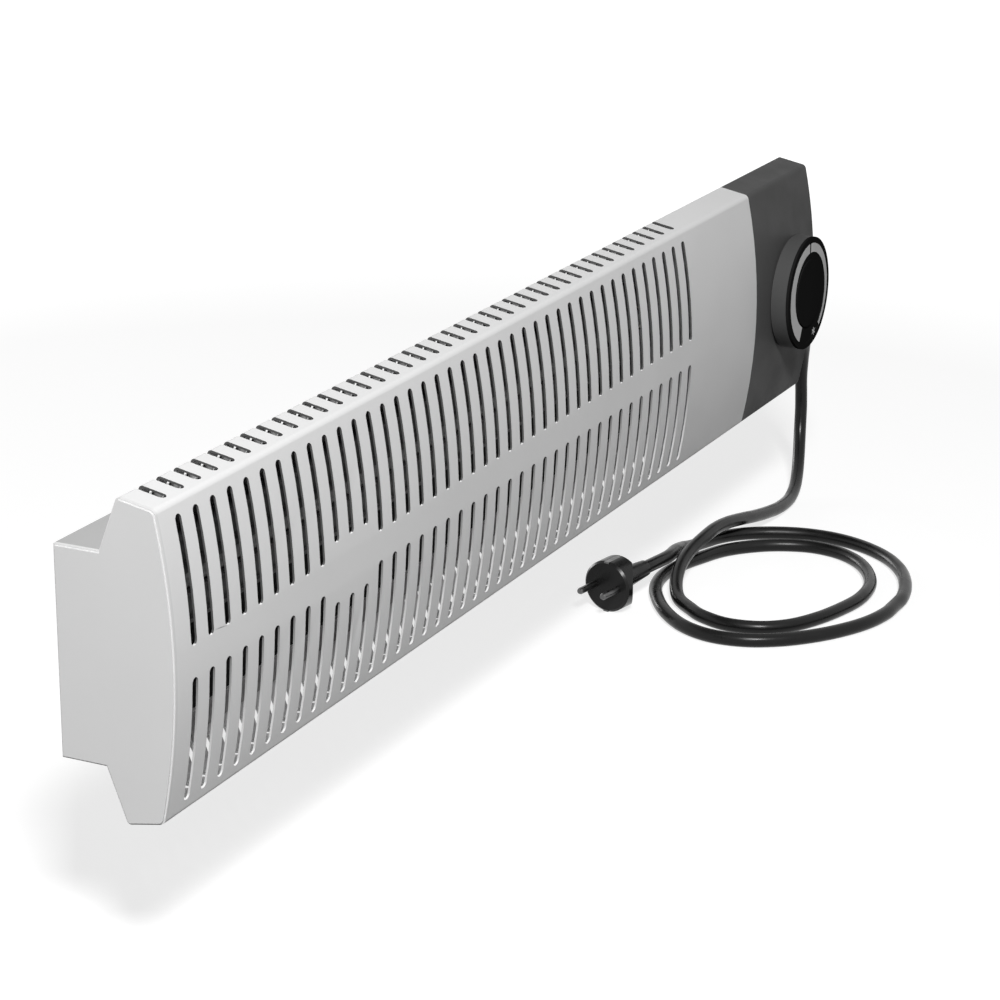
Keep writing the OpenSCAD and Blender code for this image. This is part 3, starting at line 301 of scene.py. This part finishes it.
def live_routes():
    """From the terminal block to the thermostat, on to the thermal cutout, and on to the heating rod.
    The thermostat's tabs stand at a quarter of its width, and the cutout's at a quarter of its depth."""
    stat_low, stat_high, stat_mid = corners("thermostat_body")
    tab_x = (stat_high.x - stat_low.x) / 4
    tab_y = stat_high.y
    cut_low, cut_high, cut_mid = corners("thermal_cutout")
    post_y = (cut_high.y - cut_low.y) / 4
    return [
        [
            (block_low.x + POLE_IN, POLE_Y, pole_z(2)),
            (block_low.x - LOOP / 2, POLE_Y, pole_z(2)),
            (block_low.x - LOOP, POLE_Y - LOOP, pole_z(2) + LOOP),
            (block_low.x, POLE_Y - 2 * LOOP, pole_z(2) + 3 * LOOP),
            (block_mid.x + LOOP, tab_y + LOOP / 2, pole_z(2) + 4 * LOOP),
            (casing_high.x + LOOP, tab_y + LOOP, 2 * LOOP),
            (stat_mid.x - tab_x - LOOP, tab_y + LOOP, LOOP / 2),
            (stat_mid.x - tab_x, tab_y + LOOP / 2, 0),
            (stat_mid.x - tab_x, tab_y, 0),
        ], [
            (stat_mid.x + tab_x, tab_y, 0),
            (stat_mid.x + tab_x, tab_y + LOOP / 2, 0),
            (stat_mid.x + tab_x - LOOP / 2, tab_y + 2 * LOOP, LOOP),
            (stat_mid.x - LOOP, tab_y + 2 * LOOP, 3 * LOOP),
            (casing_high.x, CASING_FRONT_Y, cut_mid.z - LOOP / 2),
            (block_mid.x - LOOP, CASING_FRONT_Y, cut_mid.z),
            (cut_high.x + 2 * LOOP, cut_high.y, cut_mid.z),
            (cut_high.x + LOOP, cut_mid.y + post_y, cut_mid.z),
            (cut_high.x, cut_mid.y + post_y, cut_mid.z),
        ], [
            (cut_high.x, cut_mid.y - post_y, cut_mid.z),
            (cut_high.x + LOOP, cut_mid.y - post_y, cut_mid.z),
            (cut_high.x + 2 * LOOP, cut_mid.y + post_y, cut_mid.z - 2 * LOOP),
            (rod_high.x + 2 * LOOP, rod_mid.y - LOOP / 2, rod_mid.z + LOOP),
            (rod_high.x + LOOP, rod_mid.y, rod_mid.z),
            (rod_high.x, rod_mid.y, rod_mid.z),
        ],
    ]


def neutral_route():
    """From the terminal block through the grommet, and along the casing to the rod's left end."""
    _, _, wire = corners("wire_grommet")
    return [
        (block_low.x + POLE_IN, POLE_Y, pole_z(1)),
        (block_low.x - LOOP / 2, POLE_Y, pole_z(1)),
        (block_low.x - 2 * LOOP, POLE_Y, (pole_z(1) + wire.z) / 2),
        (PARTITION_X + 3 * LOOP, wire.y, wire.z + LOOP / 4),
        (PARTITION_X + LOOP, wire.y, wire.z),
        (PARTITION_X - LOOP, wire.y, wire.z),
        ((PARTITION_X + BRACKET_X) / 2, wire.y, wire.z - LOOP / 2),
        (BRACKET_X, wire.y, wire.z),
        (rod_low.x - LOOP, wire.y, wire.z + LOOP),
        (rod_low.x - 2 * LOOP, (wire.y + rod_mid.y) / 2, (wire.z + rod_mid.z) / 2),
        (rod_low.x - LOOP, rod_mid.y, rod_mid.z),
        (rod_low.x, rod_mid.y, rod_mid.z),
    ]


def earth_route():
    """From the terminal block to the earth screw, on the inside of the casing's back."""
    screw_low, _, screw_mid = corners("earth_screw")
    sheet_y = block_high.y
    seat_y = sheet_y - WIRE_R - WASHER_T / 2
    return [
        (block_low.x + POLE_IN, POLE_Y, pole_z(0)),
        (block_low.x - LOOP / 2, POLE_Y, pole_z(0)),
        (block_low.x - LOOP, POLE_Y, pole_z(0) - LOOP / 2),
        (block_low.x - LOOP / 2, sheet_y - 2 * WIRE_R, screw_mid.z + LOOP / 4),
        (block_low.x + LOOP / 2, seat_y, screw_mid.z),
        (screw_low.x, seat_y, screw_mid.z),
    ]


WIRES = {
    "cord_cores": ("core_sleeves", [core_route(k) for k in range(CORE_COUNT)]),
    "live_wires": ("brown_sleeve", live_routes()),
    "neutral_wire": ("blue_sleeve", [neutral_route()]),
    "earth_wire": ("green_yellow_sleeve", [earth_route()]),
}
wire_pieces = []
for node_name, (slot_name, routes) in WIRES.items():
    lines = [rounded([Vector(p) * MM for p in route], WIRE_BEND * MM) for route in routes]
    piece = tube_mesh("soft_" + node_name, lines, WIRE_R * MM, WIRE_RING)
    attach(piece, "heater")
    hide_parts(node_name)
    wire_pieces.append((piece, slot_name, len(routes)))


# A screw's pan head with its cross recess, made once and set on every seat by one node group
HEAD_R = 3.0 * MM
HEAD_H = 1.8 * MM
SHANK_R = 1.75 * MM
HEAD_RING = 36
SHANK_RING = 24

# The head's outline as shares of its radius and height, and the recess as shares of them too
HEAD_LINE = [(1.0, 0.0), (1.0, 0.36), (0.97, 0.56), (0.88, 0.76), (0.72, 0.9), (0.48, 0.97), (0.2, 1.0)]
CROSS_REACH = 0.62
CROSS_WIDTH = 0.26
CROSS_FOOT = 0.35
CROSS_TOP = 1.2
CROSS_TAPER = 0.6

# Faces that meet at more than this angle keep a sharp edge
SHARP = math.radians(32)


def lathe(name, line, ring):
    """A closed turned body with its seat at z = 0."""
    verts, faces = [], []
    for radius, z in line:
        for k in range(ring):
            a = 2 * math.pi * k / ring
            verts.append((radius * math.cos(a), radius * math.sin(a), z))
    for i in range(len(line) - 1):
        for k in range(ring):
            n = (k + 1) % ring
            faces.append((i * ring + k, i * ring + n, (i + 1) * ring + n, (i + 1) * ring + k))
    faces.append(tuple(reversed(range(ring))))
    faces.append(tuple(range((len(line) - 1) * ring, len(line) * ring)))
    return mesh_object(name, verts, faces)


def cross_cutter(name, reach, width, low, high):
    """A cross-shaped prism, narrower at its foot."""
    verts, faces = [], []
    for z, share in ((low, CROSS_TAPER), (high, 1.0)):
        w = width / 2 * share
        r = reach * share
        for k in range(4):
            c = math.cos(k * math.pi / 2)
            s = math.sin(k * math.pi / 2)
            for x, y in ((w, w), (w, r), (-w, r)):
                verts.append((c * x - s * y, s * x + c * y, z))
    ring = len(verts) // 2
    faces.append(tuple(reversed(range(ring))))
    faces.append(tuple(range(ring, 2 * ring)))
    for k in range(ring):
        n = (k + 1) % ring
        faces.append((k, n, ring + n, ring + k))
    return mesh_object(name, verts, faces, False)


def screw_head():
    head = lathe("screw_head", [(r * HEAD_R, z * HEAD_H) for r, z in HEAD_LINE], HEAD_RING)
    cutter = cross_cutter("screw_cross", CROSS_REACH * HEAD_R, CROSS_WIDTH * HEAD_R,
                          CROSS_FOOT * HEAD_H, CROSS_TOP * HEAD_H)
    cut = head.modifiers.new("cross", "BOOLEAN")
    cut.operation = "DIFFERENCE"
    cut.solver = "EXACT"
    cut.object = cutter
    mesh = bpy.data.meshes.new_from_object(head.evaluated_get(bpy.context.evaluated_depsgraph_get()))
    head.modifiers.remove(cut)
    bpy.data.objects.remove(cutter)
    head.data = mesh
    return head


def screws_group():
    """Sets a screw on each vertex, along the vertex's axis attribute."""
    group = bpy.data.node_groups.new("screws_on_seats", "GeometryNodeTree")
    inputs = {"Seats": "Geometry", "Head": "Object", "Shank length": "Float", "Shank radius": "Float",
              "Finish": "Material"}
    for name, kind in inputs.items():
        group.interface.new_socket(name=name, in_out="INPUT", socket_type="NodeSocket" + kind)
    group.interface.new_socket(name="Screws", in_out="OUTPUT", socket_type="NodeSocketGeometry")
    make = group.nodes.new
    link = group.links.new
    given = make("NodeGroupInput")
    made = make("NodeGroupOutput")
    head = make("GeometryNodeObjectInfo")
    link(given.outputs["Head"], head.inputs["Object"])
    shank = make("GeometryNodeMeshCylinder")
    shank.inputs["Vertices"].default_value = SHANK_RING
    link(given.outputs["Shank radius"], shank.inputs["Radius"])
    link(given.outputs["Shank length"], shank.inputs["Depth"])
    half = make("ShaderNodeMath")
    half.operation = "MULTIPLY"
    half.inputs[1].default_value = -0.5
    link(given.outputs["Shank length"], half.inputs[0])
    down = make("ShaderNodeCombineXYZ")
    link(half.outputs[0], down.inputs["Z"])
    lower = make("GeometryNodeTransform")
    link(shank.outputs["Mesh"], lower.inputs["Geometry"])
    link(down.outputs[0], lower.inputs["Translation"])
    screw = make("GeometryNodeJoinGeometry")
    link(lower.outputs[0], screw.inputs[0])
    link(head.outputs["Geometry"], screw.inputs[0])
    axis = make("GeometryNodeInputNamedAttribute")
    axis.data_type = "FLOAT_VECTOR"
    axis.inputs["Name"].default_value = "axis"
    turn = make("FunctionNodeAlignRotationToVector")
    turn.axis = "Z"
    link(axis.outputs["Attribute"], turn.inputs["Vector"])
    place = make("GeometryNodeInstanceOnPoints")
    link(given.outputs["Seats"], place.inputs["Points"])
    link(screw.outputs[0], place.inputs["Instance"])
    link(turn.outputs["Rotation"], place.inputs["Rotation"])
    real = make("GeometryNodeRealizeInstances")
    link(place.outputs["Instances"], real.inputs["Geometry"])
    finish = make("GeometryNodeSetMaterial")
    link(real.outputs["Geometry"], finish.inputs["Geometry"])
    link(given.outputs["Finish"], finish.inputs["Material"])
    link(finish.outputs["Geometry"], made.inputs["Screws"])
    return group


# Where the screws sit, in millimetres. The first slot of the shell, and the step from one to the next
SLOT_FIRST_X = -430.2
SLOT_STEP = 16.5

# Y and Z of the shell's crest and of the casing's edge. Between them the shell slopes back to the wall
CREST_Y = -44.7
CREST_Z = 88.5
CASING_EDGE_Z = 58.25
SLOPE = math.atan2(CREST_Z - CASING_EDGE_Z, CASING_FRONT_Y - CREST_Y)

# The screws of the shell, counted in slots along it, and those of the ends and of the feet inside
GRILLE_SCREW_WEBS = (3.5, 19.5, 36.5)
GRILLE_SCREW_Z = 67.525
GRILLE_SCREW_Y = CREST_Y + (CREST_Z - GRILLE_SCREW_Z) / math.tan(SLOPE)
END_SCREW_XS = (casing_low.x + 4.0, casing_high.x - 5.0)
END_SCREW_Z = 49.55
FOOT_SCREW_IN = 8.2
FOOT_SCREW_Y = -8.55
FOOT_SCREW_APART = 24.0


def grille_seats():
    """Seats on both slopes of the shell, in the webs between two slots, with the way each head faces."""
    seats = []
    for side in (1, -1):
        way = (0, math.sin(SLOPE), side * math.cos(SLOPE))
        for web in GRILLE_SCREW_WEBS:
            seats.append(((SLOT_FIRST_X + web * SLOT_STEP, GRILLE_SCREW_Y, side * GRILLE_SCREW_Z), way))
    return seats


def end_seats():
    """Seats in the casing's back, near its four corners."""
    return [((x, casing_high.y, side * END_SCREW_Z), (0, 1, 0)) for side in (1, -1) for x in END_SCREW_XS]


def foot_seats(plate_x):
    """Seats on the foot of a plate that stands across the casing, below and above the rod."""
    x = plate_x + FOOT_SCREW_IN
    half = FOOT_SCREW_APART / 2
    return [((x, FOOT_SCREW_Y, z), (0, -1, 0)) for z in (rod_mid.z - half, rod_mid.z + half)]


# The length of the screws of each group, and their seats
SCREWS = {
    "grille_screws": (4.5, grille_seats()),
    "end_screws": (6.0, end_seats()),
    "partition_screws": (4.5, foot_seats(PARTITION_X)),
    "bracket_screws": (4.5, foot_seats(BRACKET_X)),
}


def set_screws(node_name, length, seats, group, head, finish):
    piece = mesh_object("cross_" + node_name, [Vector(p) * MM for p, _ in seats], [])
    axis = piece.data.attributes.new("axis", "FLOAT_VECTOR", "POINT")
    axis.data.foreach_set("vector", [v for _, way in seats for v in way])
    nodes = piece.modifiers.new("screws", "NODES")
    nodes.node_group = group
    values = {"Head": head, "Shank length": length * MM, "Shank radius": SHANK_R, "Finish": finish}
    for item in group.interface.items_tree:
        if item.in_out == "INPUT" and item.name in values:
            nodes[item.identifier] = values[item.name]
    seen = piece.evaluated_get(bpy.context.evaluated_depsgraph_get())
    mesh = bpy.data.meshes.new_from_object(seen)
    piece.modifiers.remove(nodes)
    piece.data = mesh
    mesh.polygons.foreach_set("use_smooth", [True] * len(mesh.polygons))
    mesh.set_sharp_from_angle(angle=SHARP)
    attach(piece, "heater")
    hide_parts(node_name)


# A noise keeps mostly between these two values
NOISE_LOW = 0.3
NOISE_HIGH = 0.7

# A place along the shell is in a slot if it is this near to the slot's middle, in metres
SLOT_REACH = 0.0029

# Painted shade darkens the walls of slots above the shell's middle; below it they grow paler. From this
# height down they carry no painted shade and are as pale as the shell
WALL_SHADE_END_Z = -0.06

# A face looks along an axis if its normal has more than this share of it
WALL_TURN = 0.55

# From the left, the neutral wire has its heat-proof sleeve up to here, a little before the partition
SLEEVE_END = (PARTITION_X - 3.8) * MM
SLEEVE_EDGE = 0.5 * MM


class Nodes:
    """A material and its node tree. A value is a number, a colour, a vector or another node's output."""

    def __init__(self, name, base, rough, metal=0.0, shine=0.5):
        self.mat = bpy.data.materials.new(name)
        self.mat.use_nodes = True
        self.tree = self.mat.node_tree
        self.shader = self.tree.nodes["Principled BSDF"]
        self.shader.inputs["Base Color"].default_value = (*base, 1.0)
        self.shader.inputs["Roughness"].default_value = rough
        self.shader.inputs["Metallic"].default_value = metal
        self.shader.inputs["Specular IOR Level"].default_value = shine
        self.base = base
        self.coords = self.tree.nodes.new("ShaderNodeTexCoord").outputs["Object"]

    def add(self, kind, **settings):
        node = self.tree.nodes.new("ShaderNode" + kind)
        for key, setting in settings.items():
            setattr(node, key, setting)
        return node

    def give(self, into, value):
        """Puts a value into a socket."""
        if isinstance(value, bpy.types.NodeSocket):
            self.tree.links.new(value, into)
        else:
            into.default_value = (*value, 1.0) if into.type == "RGBA" else value

    def math(self, operation, *values):
        node = self.add("Math", operation=operation)
        for into, value in zip(node.inputs, values):
            self.give(into, value)
        return node.outputs[0]

    def part(self, vector, axis):
        """One of the three numbers of a vector."""
        parts = self.add("SeparateXYZ")
        self.give(parts.inputs[0], vector)
        return parts.outputs[axis]

    def noise(self, scale, detail, stretch=(1.0, 1.0, 1.0)):
        mapping = self.add("Mapping")
        self.give(mapping.inputs["Vector"], self.coords)
        self.give(mapping.inputs["Scale"], stretch)
        node = self.add("TexNoise")
        self.give(node.inputs["Vector"], mapping.outputs["Vector"])
        self.give(node.inputs["Scale"], scale)
        self.give(node.inputs["Detail"], detail)
        return node.outputs["Fac"]

    def ranged(self, value, start, end, low, high):
        """Goes from low to high while the value goes from start to end."""
        node = self.add("MapRange")
        self.give(node.inputs["Value"], value)
        self.give(node.inputs["From Min"], start)
        self.give(node.inputs["From Max"], end)
        self.give(node.inputs["To Min"], low)
        self.give(node.inputs["To Max"], high)
        return node.outputs["Result"]

    def spread(self, noise, low, high):
        """Goes from low to high with a noise."""
        return self.ranged(noise, NOISE_LOW, NOISE_HIGH, low, high)

    def mixed(self, share, first, second):
        """The first colour, which gives way to the second as the share goes from 0 to 1."""
        mix = self.add("Mix", data_type="RGBA")
        self.give(mix.inputs[0], share)
        self.give(mix.inputs[6], first)
        self.give(mix.inputs[7], second)
        return mix.outputs[2]

    def colour(self, value):
        self.give(self.shader.inputs["Base Color"], value)

    def tint(self, noise, share):
        """The base colour grows lighter and darker by this share with a noise."""
        dark = tuple(c * (1 - share) for c in self.base)
        light = tuple(min(c * (1 + share), 1.0) for c in self.base)
        self.colour(self.mixed(self.spread(noise, 0.0, 1.0), dark, light))

    def near_slots(self, value):
        """The value, but 0 on the webs between the slots, where a thin face can carry a wall's normal."""
        shift = self.math("SUBTRACT", self.part(self.coords, "X"), SLOT_FIRST_X * MM)
        off = self.math("PINGPONG", shift, SLOT_STEP / 2 * MM)
        return self.math("MULTIPLY", self.math("LESS_THAN", off, SLOT_REACH), value)

    def side_walls(self, axis, test, colour, share=1.0):
        """Faces that look along the axis (or, with LESS_THAN, across it) take this share of the colour."""
        normal = self.add("NewGeometry").outputs["Normal"]
        wall = self.math(test, self.math("ABSOLUTE", self.part(normal, axis)), WALL_TURN)
        under = self.shader.inputs["Base Color"].links[0].from_socket
        self.colour(self.mixed(self.math("MULTIPLY", wall, share), under, colour))

    def roughen(self, noise, low, high):
        self.give(self.shader.inputs["Roughness"], self.spread(noise, low, high))

    def bump(self, value, depth, strength):
        """Gives the surface its relief, this deep in metres, and returns the finished material."""
        node = self.add("Bump")
        self.give(node.inputs["Height"], value)
        self.give(node.inputs["Distance"], depth)
        self.give(node.inputs["Strength"], strength)
        self.give(self.shader.inputs["Normal"], node.outputs["Normal"])
        return self.mat


def enamel(name, base, rough, shine=0.1, cut=None):
    """Baked powder coat: fine orange peel, faint cloudiness and a slightly uneven gloss.
    Cut is the colour of painted shade on the walls of slots, which face along the heater."""
    n = Nodes(name, base, rough, shine=shine)
    n.tint(n.noise(scale=9, detail=4), share=0.02)
    n.roughen(n.noise(scale=30, detail=3), rough - 0.05, rough + 0.06)
    if cut:
        # Painted shade on the walls of slots: full above the shell's middle, fading out further down
        share = n.ranged(n.part(n.coords, "Z"), WALL_SHADE_END_Z, 0.0, 0.0, 1.0)
        n.side_walls("X", "GREATER_THAN", cut, n.near_slots(share))
    return n.bump(n.noise(scale=900, detail=2), depth=0.00004, strength=0.5)


def moulded(name, base, rough, share=0.06, shine=0.3):
    """Moulded plastic with a fine spark-eroded grain."""
    n = Nodes(name, base, rough, shine=shine)
    n.tint(n.noise(scale=14, detail=4), share)
    n.roughen(n.noise(scale=45, detail=3), rough - 0.06, rough + 0.08)
    return n.bump(n.noise(scale=1400, detail=2), depth=0.00005, strength=0.6)


def printed(name, base, ground):
    """A raised print on the knob's face: its sides are as dark as the ground."""
    n = Nodes(name, base, rough=0.5, shine=0.05)
    n.tint(n.noise(scale=60, detail=4), share=0.05)
    n.side_walls("Y", "LESS_THAN", ground)
    return n.bump(n.noise(scale=1400, detail=2), depth=0.00003, strength=0.5)


def sleeved(name, base, sleeve):
    """A coloured wire with a dark heat-proof sleeve over its left part."""
    n = Nodes(name, base, rough=0.45, shine=0.3)
    bare = n.ranged(n.part(n.coords, "X"), SLEEVE_END, SLEEVE_END + SLEEVE_EDGE, 0.0, 1.0)
    n.colour(n.mixed(bare, sleeve, base))
    return n.bump(n.noise(scale=1800, detail=2, stretch=(0.3, 1.0, 1.0)), depth=0.00005, strength=0.5)


def striped(name, base, second):
    """A sleeve with two broad stripes along it that turn slowly round the wire."""
    turns_per_metre = 12.0
    base_share = 0.6
    n = Nodes(name, base, rough=0.4, shine=0.3)
    uv = n.add("UVMap", uv_map="along").outputs["UV"]
    turned = n.math("MULTIPLY_ADD", n.part(uv, "Y"), turns_per_metre, n.part(uv, "X"))
    n.colour(n.mixed(n.math("GREATER_THAN", n.math("FRACT", turned), base_share), base, second))
    return n.bump(n.noise(scale=1400, detail=2), depth=0.00003, strength=0.4)


def rubber(name, base, rough, shine):
    """Cord rubber, rubbed a little shinier in places."""
    n = Nodes(name, base, rough, shine=shine)
    n.tint(n.noise(scale=25, detail=4), share=0.2)
    n.roughen(n.noise(scale=60, detail=4), rough - 0.08, rough + 0.12)
    return n.bump(n.noise(scale=700, detail=3), depth=0.00003, strength=0.5)


def plated(name, base, rough, brushed=(1.0, 1.0, 1.0)):
    """Bare or plated metal with fine drawn lines and small stains."""
    n = Nodes(name, base, rough, metal=1.0)
    n.tint(n.noise(scale=40, detail=5), share=0.12)
    n.roughen(n.noise(scale=260, detail=3, stretch=brushed), rough - 0.08, rough + 0.12)
    return n.bump(n.noise(scale=1200, detail=2, stretch=brushed), depth=0.00002, strength=0.4)


def spangled(name, base, rough):
    """Galvanised sheet with its crystal spangle."""
    n = Nodes(name, base, rough, metal=1.0)
    cell = n.add("TexVoronoi", feature="F1")
    n.give(cell.inputs["Vector"], n.coords)
    n.give(cell.inputs["Scale"], 160)
    split = n.add("SeparateColor")
    n.give(split.inputs["Color"], cell.outputs["Color"])
    n.tint(split.outputs["Red"], share=0.1)
    n.roughen(split.outputs["Green"], rough - 0.06, rough + 0.1)
    return n.bump(n.noise(scale=500, detail=3), depth=0.00002, strength=0.3)


def ceramic(name, base):
    """Unglazed ceramic with fine specks."""
    n = Nodes(name, base, rough=0.6)
    n.tint(n.noise(scale=120, detail=5), share=0.06)
    return n.bump(n.noise(scale=1500, detail=3), depth=0.00004, strength=0.5)


def grey(level):
    return (level, level, level)


BLACK = grey(0.014)
FINISHES = {
    # The pale enamel's cut colour is painted shade for the walls of its slots
    "light_enamel": enamel("pale_grey_enamel", grey(0.76), rough=0.45, cut=grey(0.10)),
    "grey_enamel": enamel("mid_grey_enamel", grey(0.42), rough=0.45),
    "light_plastic": moulded("pale_end_cap", grey(0.70), rough=0.5, share=0.015),
    "dark_plastic": moulded("dark_control_end", grey(0.085), rough=0.5, shine=0.03),
    "plated_steel": plated("zinc_plate", (0.62, 0.62, 0.63), rough=0.34),
    "galvanised_steel": spangled("galvanised_sheet", (0.58, 0.60, 0.61), rough=0.42),
    "grey_steel": plated("rod_sheath", grey(0.25), rough=0.5, brushed=(0.1, 1.0, 1.0)),
    "black_rubber": rubber("black_rubber_sheath", grey(0.006), rough=0.28, shine=0.22),
    "ceramic": ceramic("steatite", (0.80, 0.77, 0.70)),
    "black_aluminium": moulded("black_anodising", grey(0.06), rough=0.36, shine=0.5),
    "black_enamel": enamel("black_lining", grey(0.02), rough=0.6),
    "brown_plastic": moulded("phenolic_brown", (0.11, 0.045, 0.02), rough=0.4, share=0.2),
    "black_plastic": moulded("knob_black", BLACK, rough=0.45, shine=0.0),
    "knob_grey": moulded("knob_skirt_grey", grey(0.080), rough=0.5, shine=0.05),
    "wedge_grey": printed("scale_print_grey", grey(0.56), BLACK),
    "white_plastic": moulded("terminal_white", (0.75, 0.74, 0.70), rough=0.45, share=0.04),
    "brass": plated("brass_screw", (0.70, 0.52, 0.22), rough=0.32),
    "core_sleeves": moulded("core_grey", (0.20, 0.20, 0.22), rough=0.4),
    "brown_sleeve": moulded("sleeve_brown", (0.15, 0.06, 0.03), rough=0.4, share=0.1),
    "blue_sleeve": sleeved("sleeve_blue", (0.03, 0.12, 0.42), grey(0.02)),
    "green_yellow_sleeve": striped("sleeve_green_yellow", (0.10, 0.34, 0.03), (0.80, 0.62, 0.03)),
    # The nickel of the plug's pins and strips is darkened far below bright nickel: painted shade for the
    # plug's shadow
    "nickel": plated("nickel_painted_shade", grey(0.14), rough=0.32),
}

# The cores of the cord from the lowest pole up
CORE_FINISHES = [FINISHES["green_yellow_sleeve"], FINISHES["blue_sleeve"], FINISHES["brown_sleeve"]]

for part in frame["record"]["subparts"]:
    node = NODES[part["node"]]
    node.data.materials.clear()
    node.data.materials.append(FINISHES[part["material_slot"]])
power_lead.data.materials.append(FINISHES["black_rubber"])
for piece, slot_name, count in wire_pieces:
    finishes = CORE_FINISHES if slot_name == "core_sleeves" else [FINISHES[slot_name]] * count
    for finish in finishes:
        piece.data.materials.append(finish)

SCREW_GROUP = screws_group()
SCREW_HEAD = screw_head()
for node_name, (length, seats) in SCREWS.items():
    set_screws(node_name, length, seats, SCREW_GROUP, SCREW_HEAD, FINISHES["plated_steel"])
bpy.data.objects.remove(SCREW_HEAD)

# The floor's paper is dim where it sends light back up to the object, and pale to the camera
PAPER_DIM = grey(0.12)
PAPER_PALE = grey(0.80)
PAPER_HALF = 30.0

# Its glow is weak within the near distance, where it keeps the object's shadow, and full beyond the far one
PAPER_GLOW = 1.36
PAPER_MIDDLE = (0.1, 0.1, FLOOR_Z)
PAPER_NEAR = 0.8
PAPER_FAR = 1.9
PAPER_NEAR_SHARE = 0.55

# The strength of the even light on the object, and the colour of all light
SOFT_LIGHT = 0.08
WHITE = (1.0, 1.0, 1.0, 1.0)


def white_to_eye(tree):
    """1 where the camera, a mirror or a clear piece looks, 0 for the light that falls on the object."""
    seen = tree.nodes.new("ShaderNodeLightPath")
    last = seen.outputs["Is Camera Ray"]
    for name in ("Is Glossy Ray", "Is Transmission Ray"):
        both = tree.nodes.new("ShaderNodeMath")
        both.operation = "MAXIMUM"
        tree.links.new(last, both.inputs[0])
        tree.links.new(seen.outputs[name], both.inputs[1])
        last = both.outputs[0]
    return last


def add_floor():
    sides = [(-1, -1), (1, -1), (1, 1), (-1, 1)]
    verts = [(x * PAPER_HALF, y * PAPER_HALF, FLOOR_Z) for x, y in sides]
    floor = mesh_object("floor", verts, [(0, 1, 2, 3)], False)
    n = Nodes("floor_paper", PAPER_PALE, rough=0.9, shine=0.1)
    eye = white_to_eye(n.tree)
    n.colour(n.mixed(eye, PAPER_DIM, PAPER_PALE))
    away = n.add("VectorMath", operation="DISTANCE")
    n.give(away.inputs[0], n.coords)
    n.give(away.inputs[1], PAPER_MIDDLE)
    fade = n.ranged(away.outputs["Value"], PAPER_NEAR, PAPER_FAR, PAPER_NEAR_SHARE, 1.0)
    glow = n.add("Emission")
    glow.inputs["Color"].default_value = WHITE
    glow.inputs["Strength"].default_value = PAPER_GLOW
    mix = n.add("MixShader")
    n.give(mix.inputs[0], n.math("MULTIPLY", eye, fade))
    n.give(mix.inputs[1], n.shader.outputs[0])
    n.give(mix.inputs[2], glow.outputs[0])
    n.give(n.tree.nodes["Material Output"].inputs["Surface"], mix.outputs[0])
    floor.data.materials.append(n.mat)


def add_world():
    """Weak even light on the object, and white behind it."""
    world = bpy.data.worlds.new("studio")
    world.use_nodes = True
    tree = world.node_tree
    soft = tree.nodes["Background"]
    soft.inputs["Color"].default_value = WHITE
    soft.inputs["Strength"].default_value = SOFT_LIGHT
    white = tree.nodes.new("ShaderNodeBackground")
    white.inputs["Color"].default_value = WHITE
    white.inputs["Strength"].default_value = 1.0
    mix = tree.nodes.new("ShaderNodeMixShader")
    tree.links.new(white_to_eye(tree), mix.inputs[0])
    tree.links.new(soft.outputs[0], mix.inputs[1])
    tree.links.new(white.outputs[0], mix.inputs[2])
    tree.links.new(mix.outputs[0], tree.nodes["World Output"].inputs["Surface"])
    SCENE.world = world


def add_lamp(name, at, aim, size, power):
    data = bpy.data.lights.new(name, "AREA")
    data.shape = "SQUARE"
    data.size = size
    data.energy = power
    lamp = bpy.data.objects.new(name, data)
    lamp.location = at
    lamp.rotation_euler = (Vector(aim) - Vector(at)).to_track_quat("-Z", "Y").to_euler()
    SCENE.collection.objects.link(lamp)


add_floor()
add_world()
add_lamp("key", at=(-1.84, -1.17, 1.87), aim=(-0.1, 0, 0), size=0.45, power=91)
add_lamp("back", at=(1.2, 2.7, 0.25), aim=(0, 0, 0), size=1.2, power=32)
SCENE.view_settings.view_transform = "Standard"
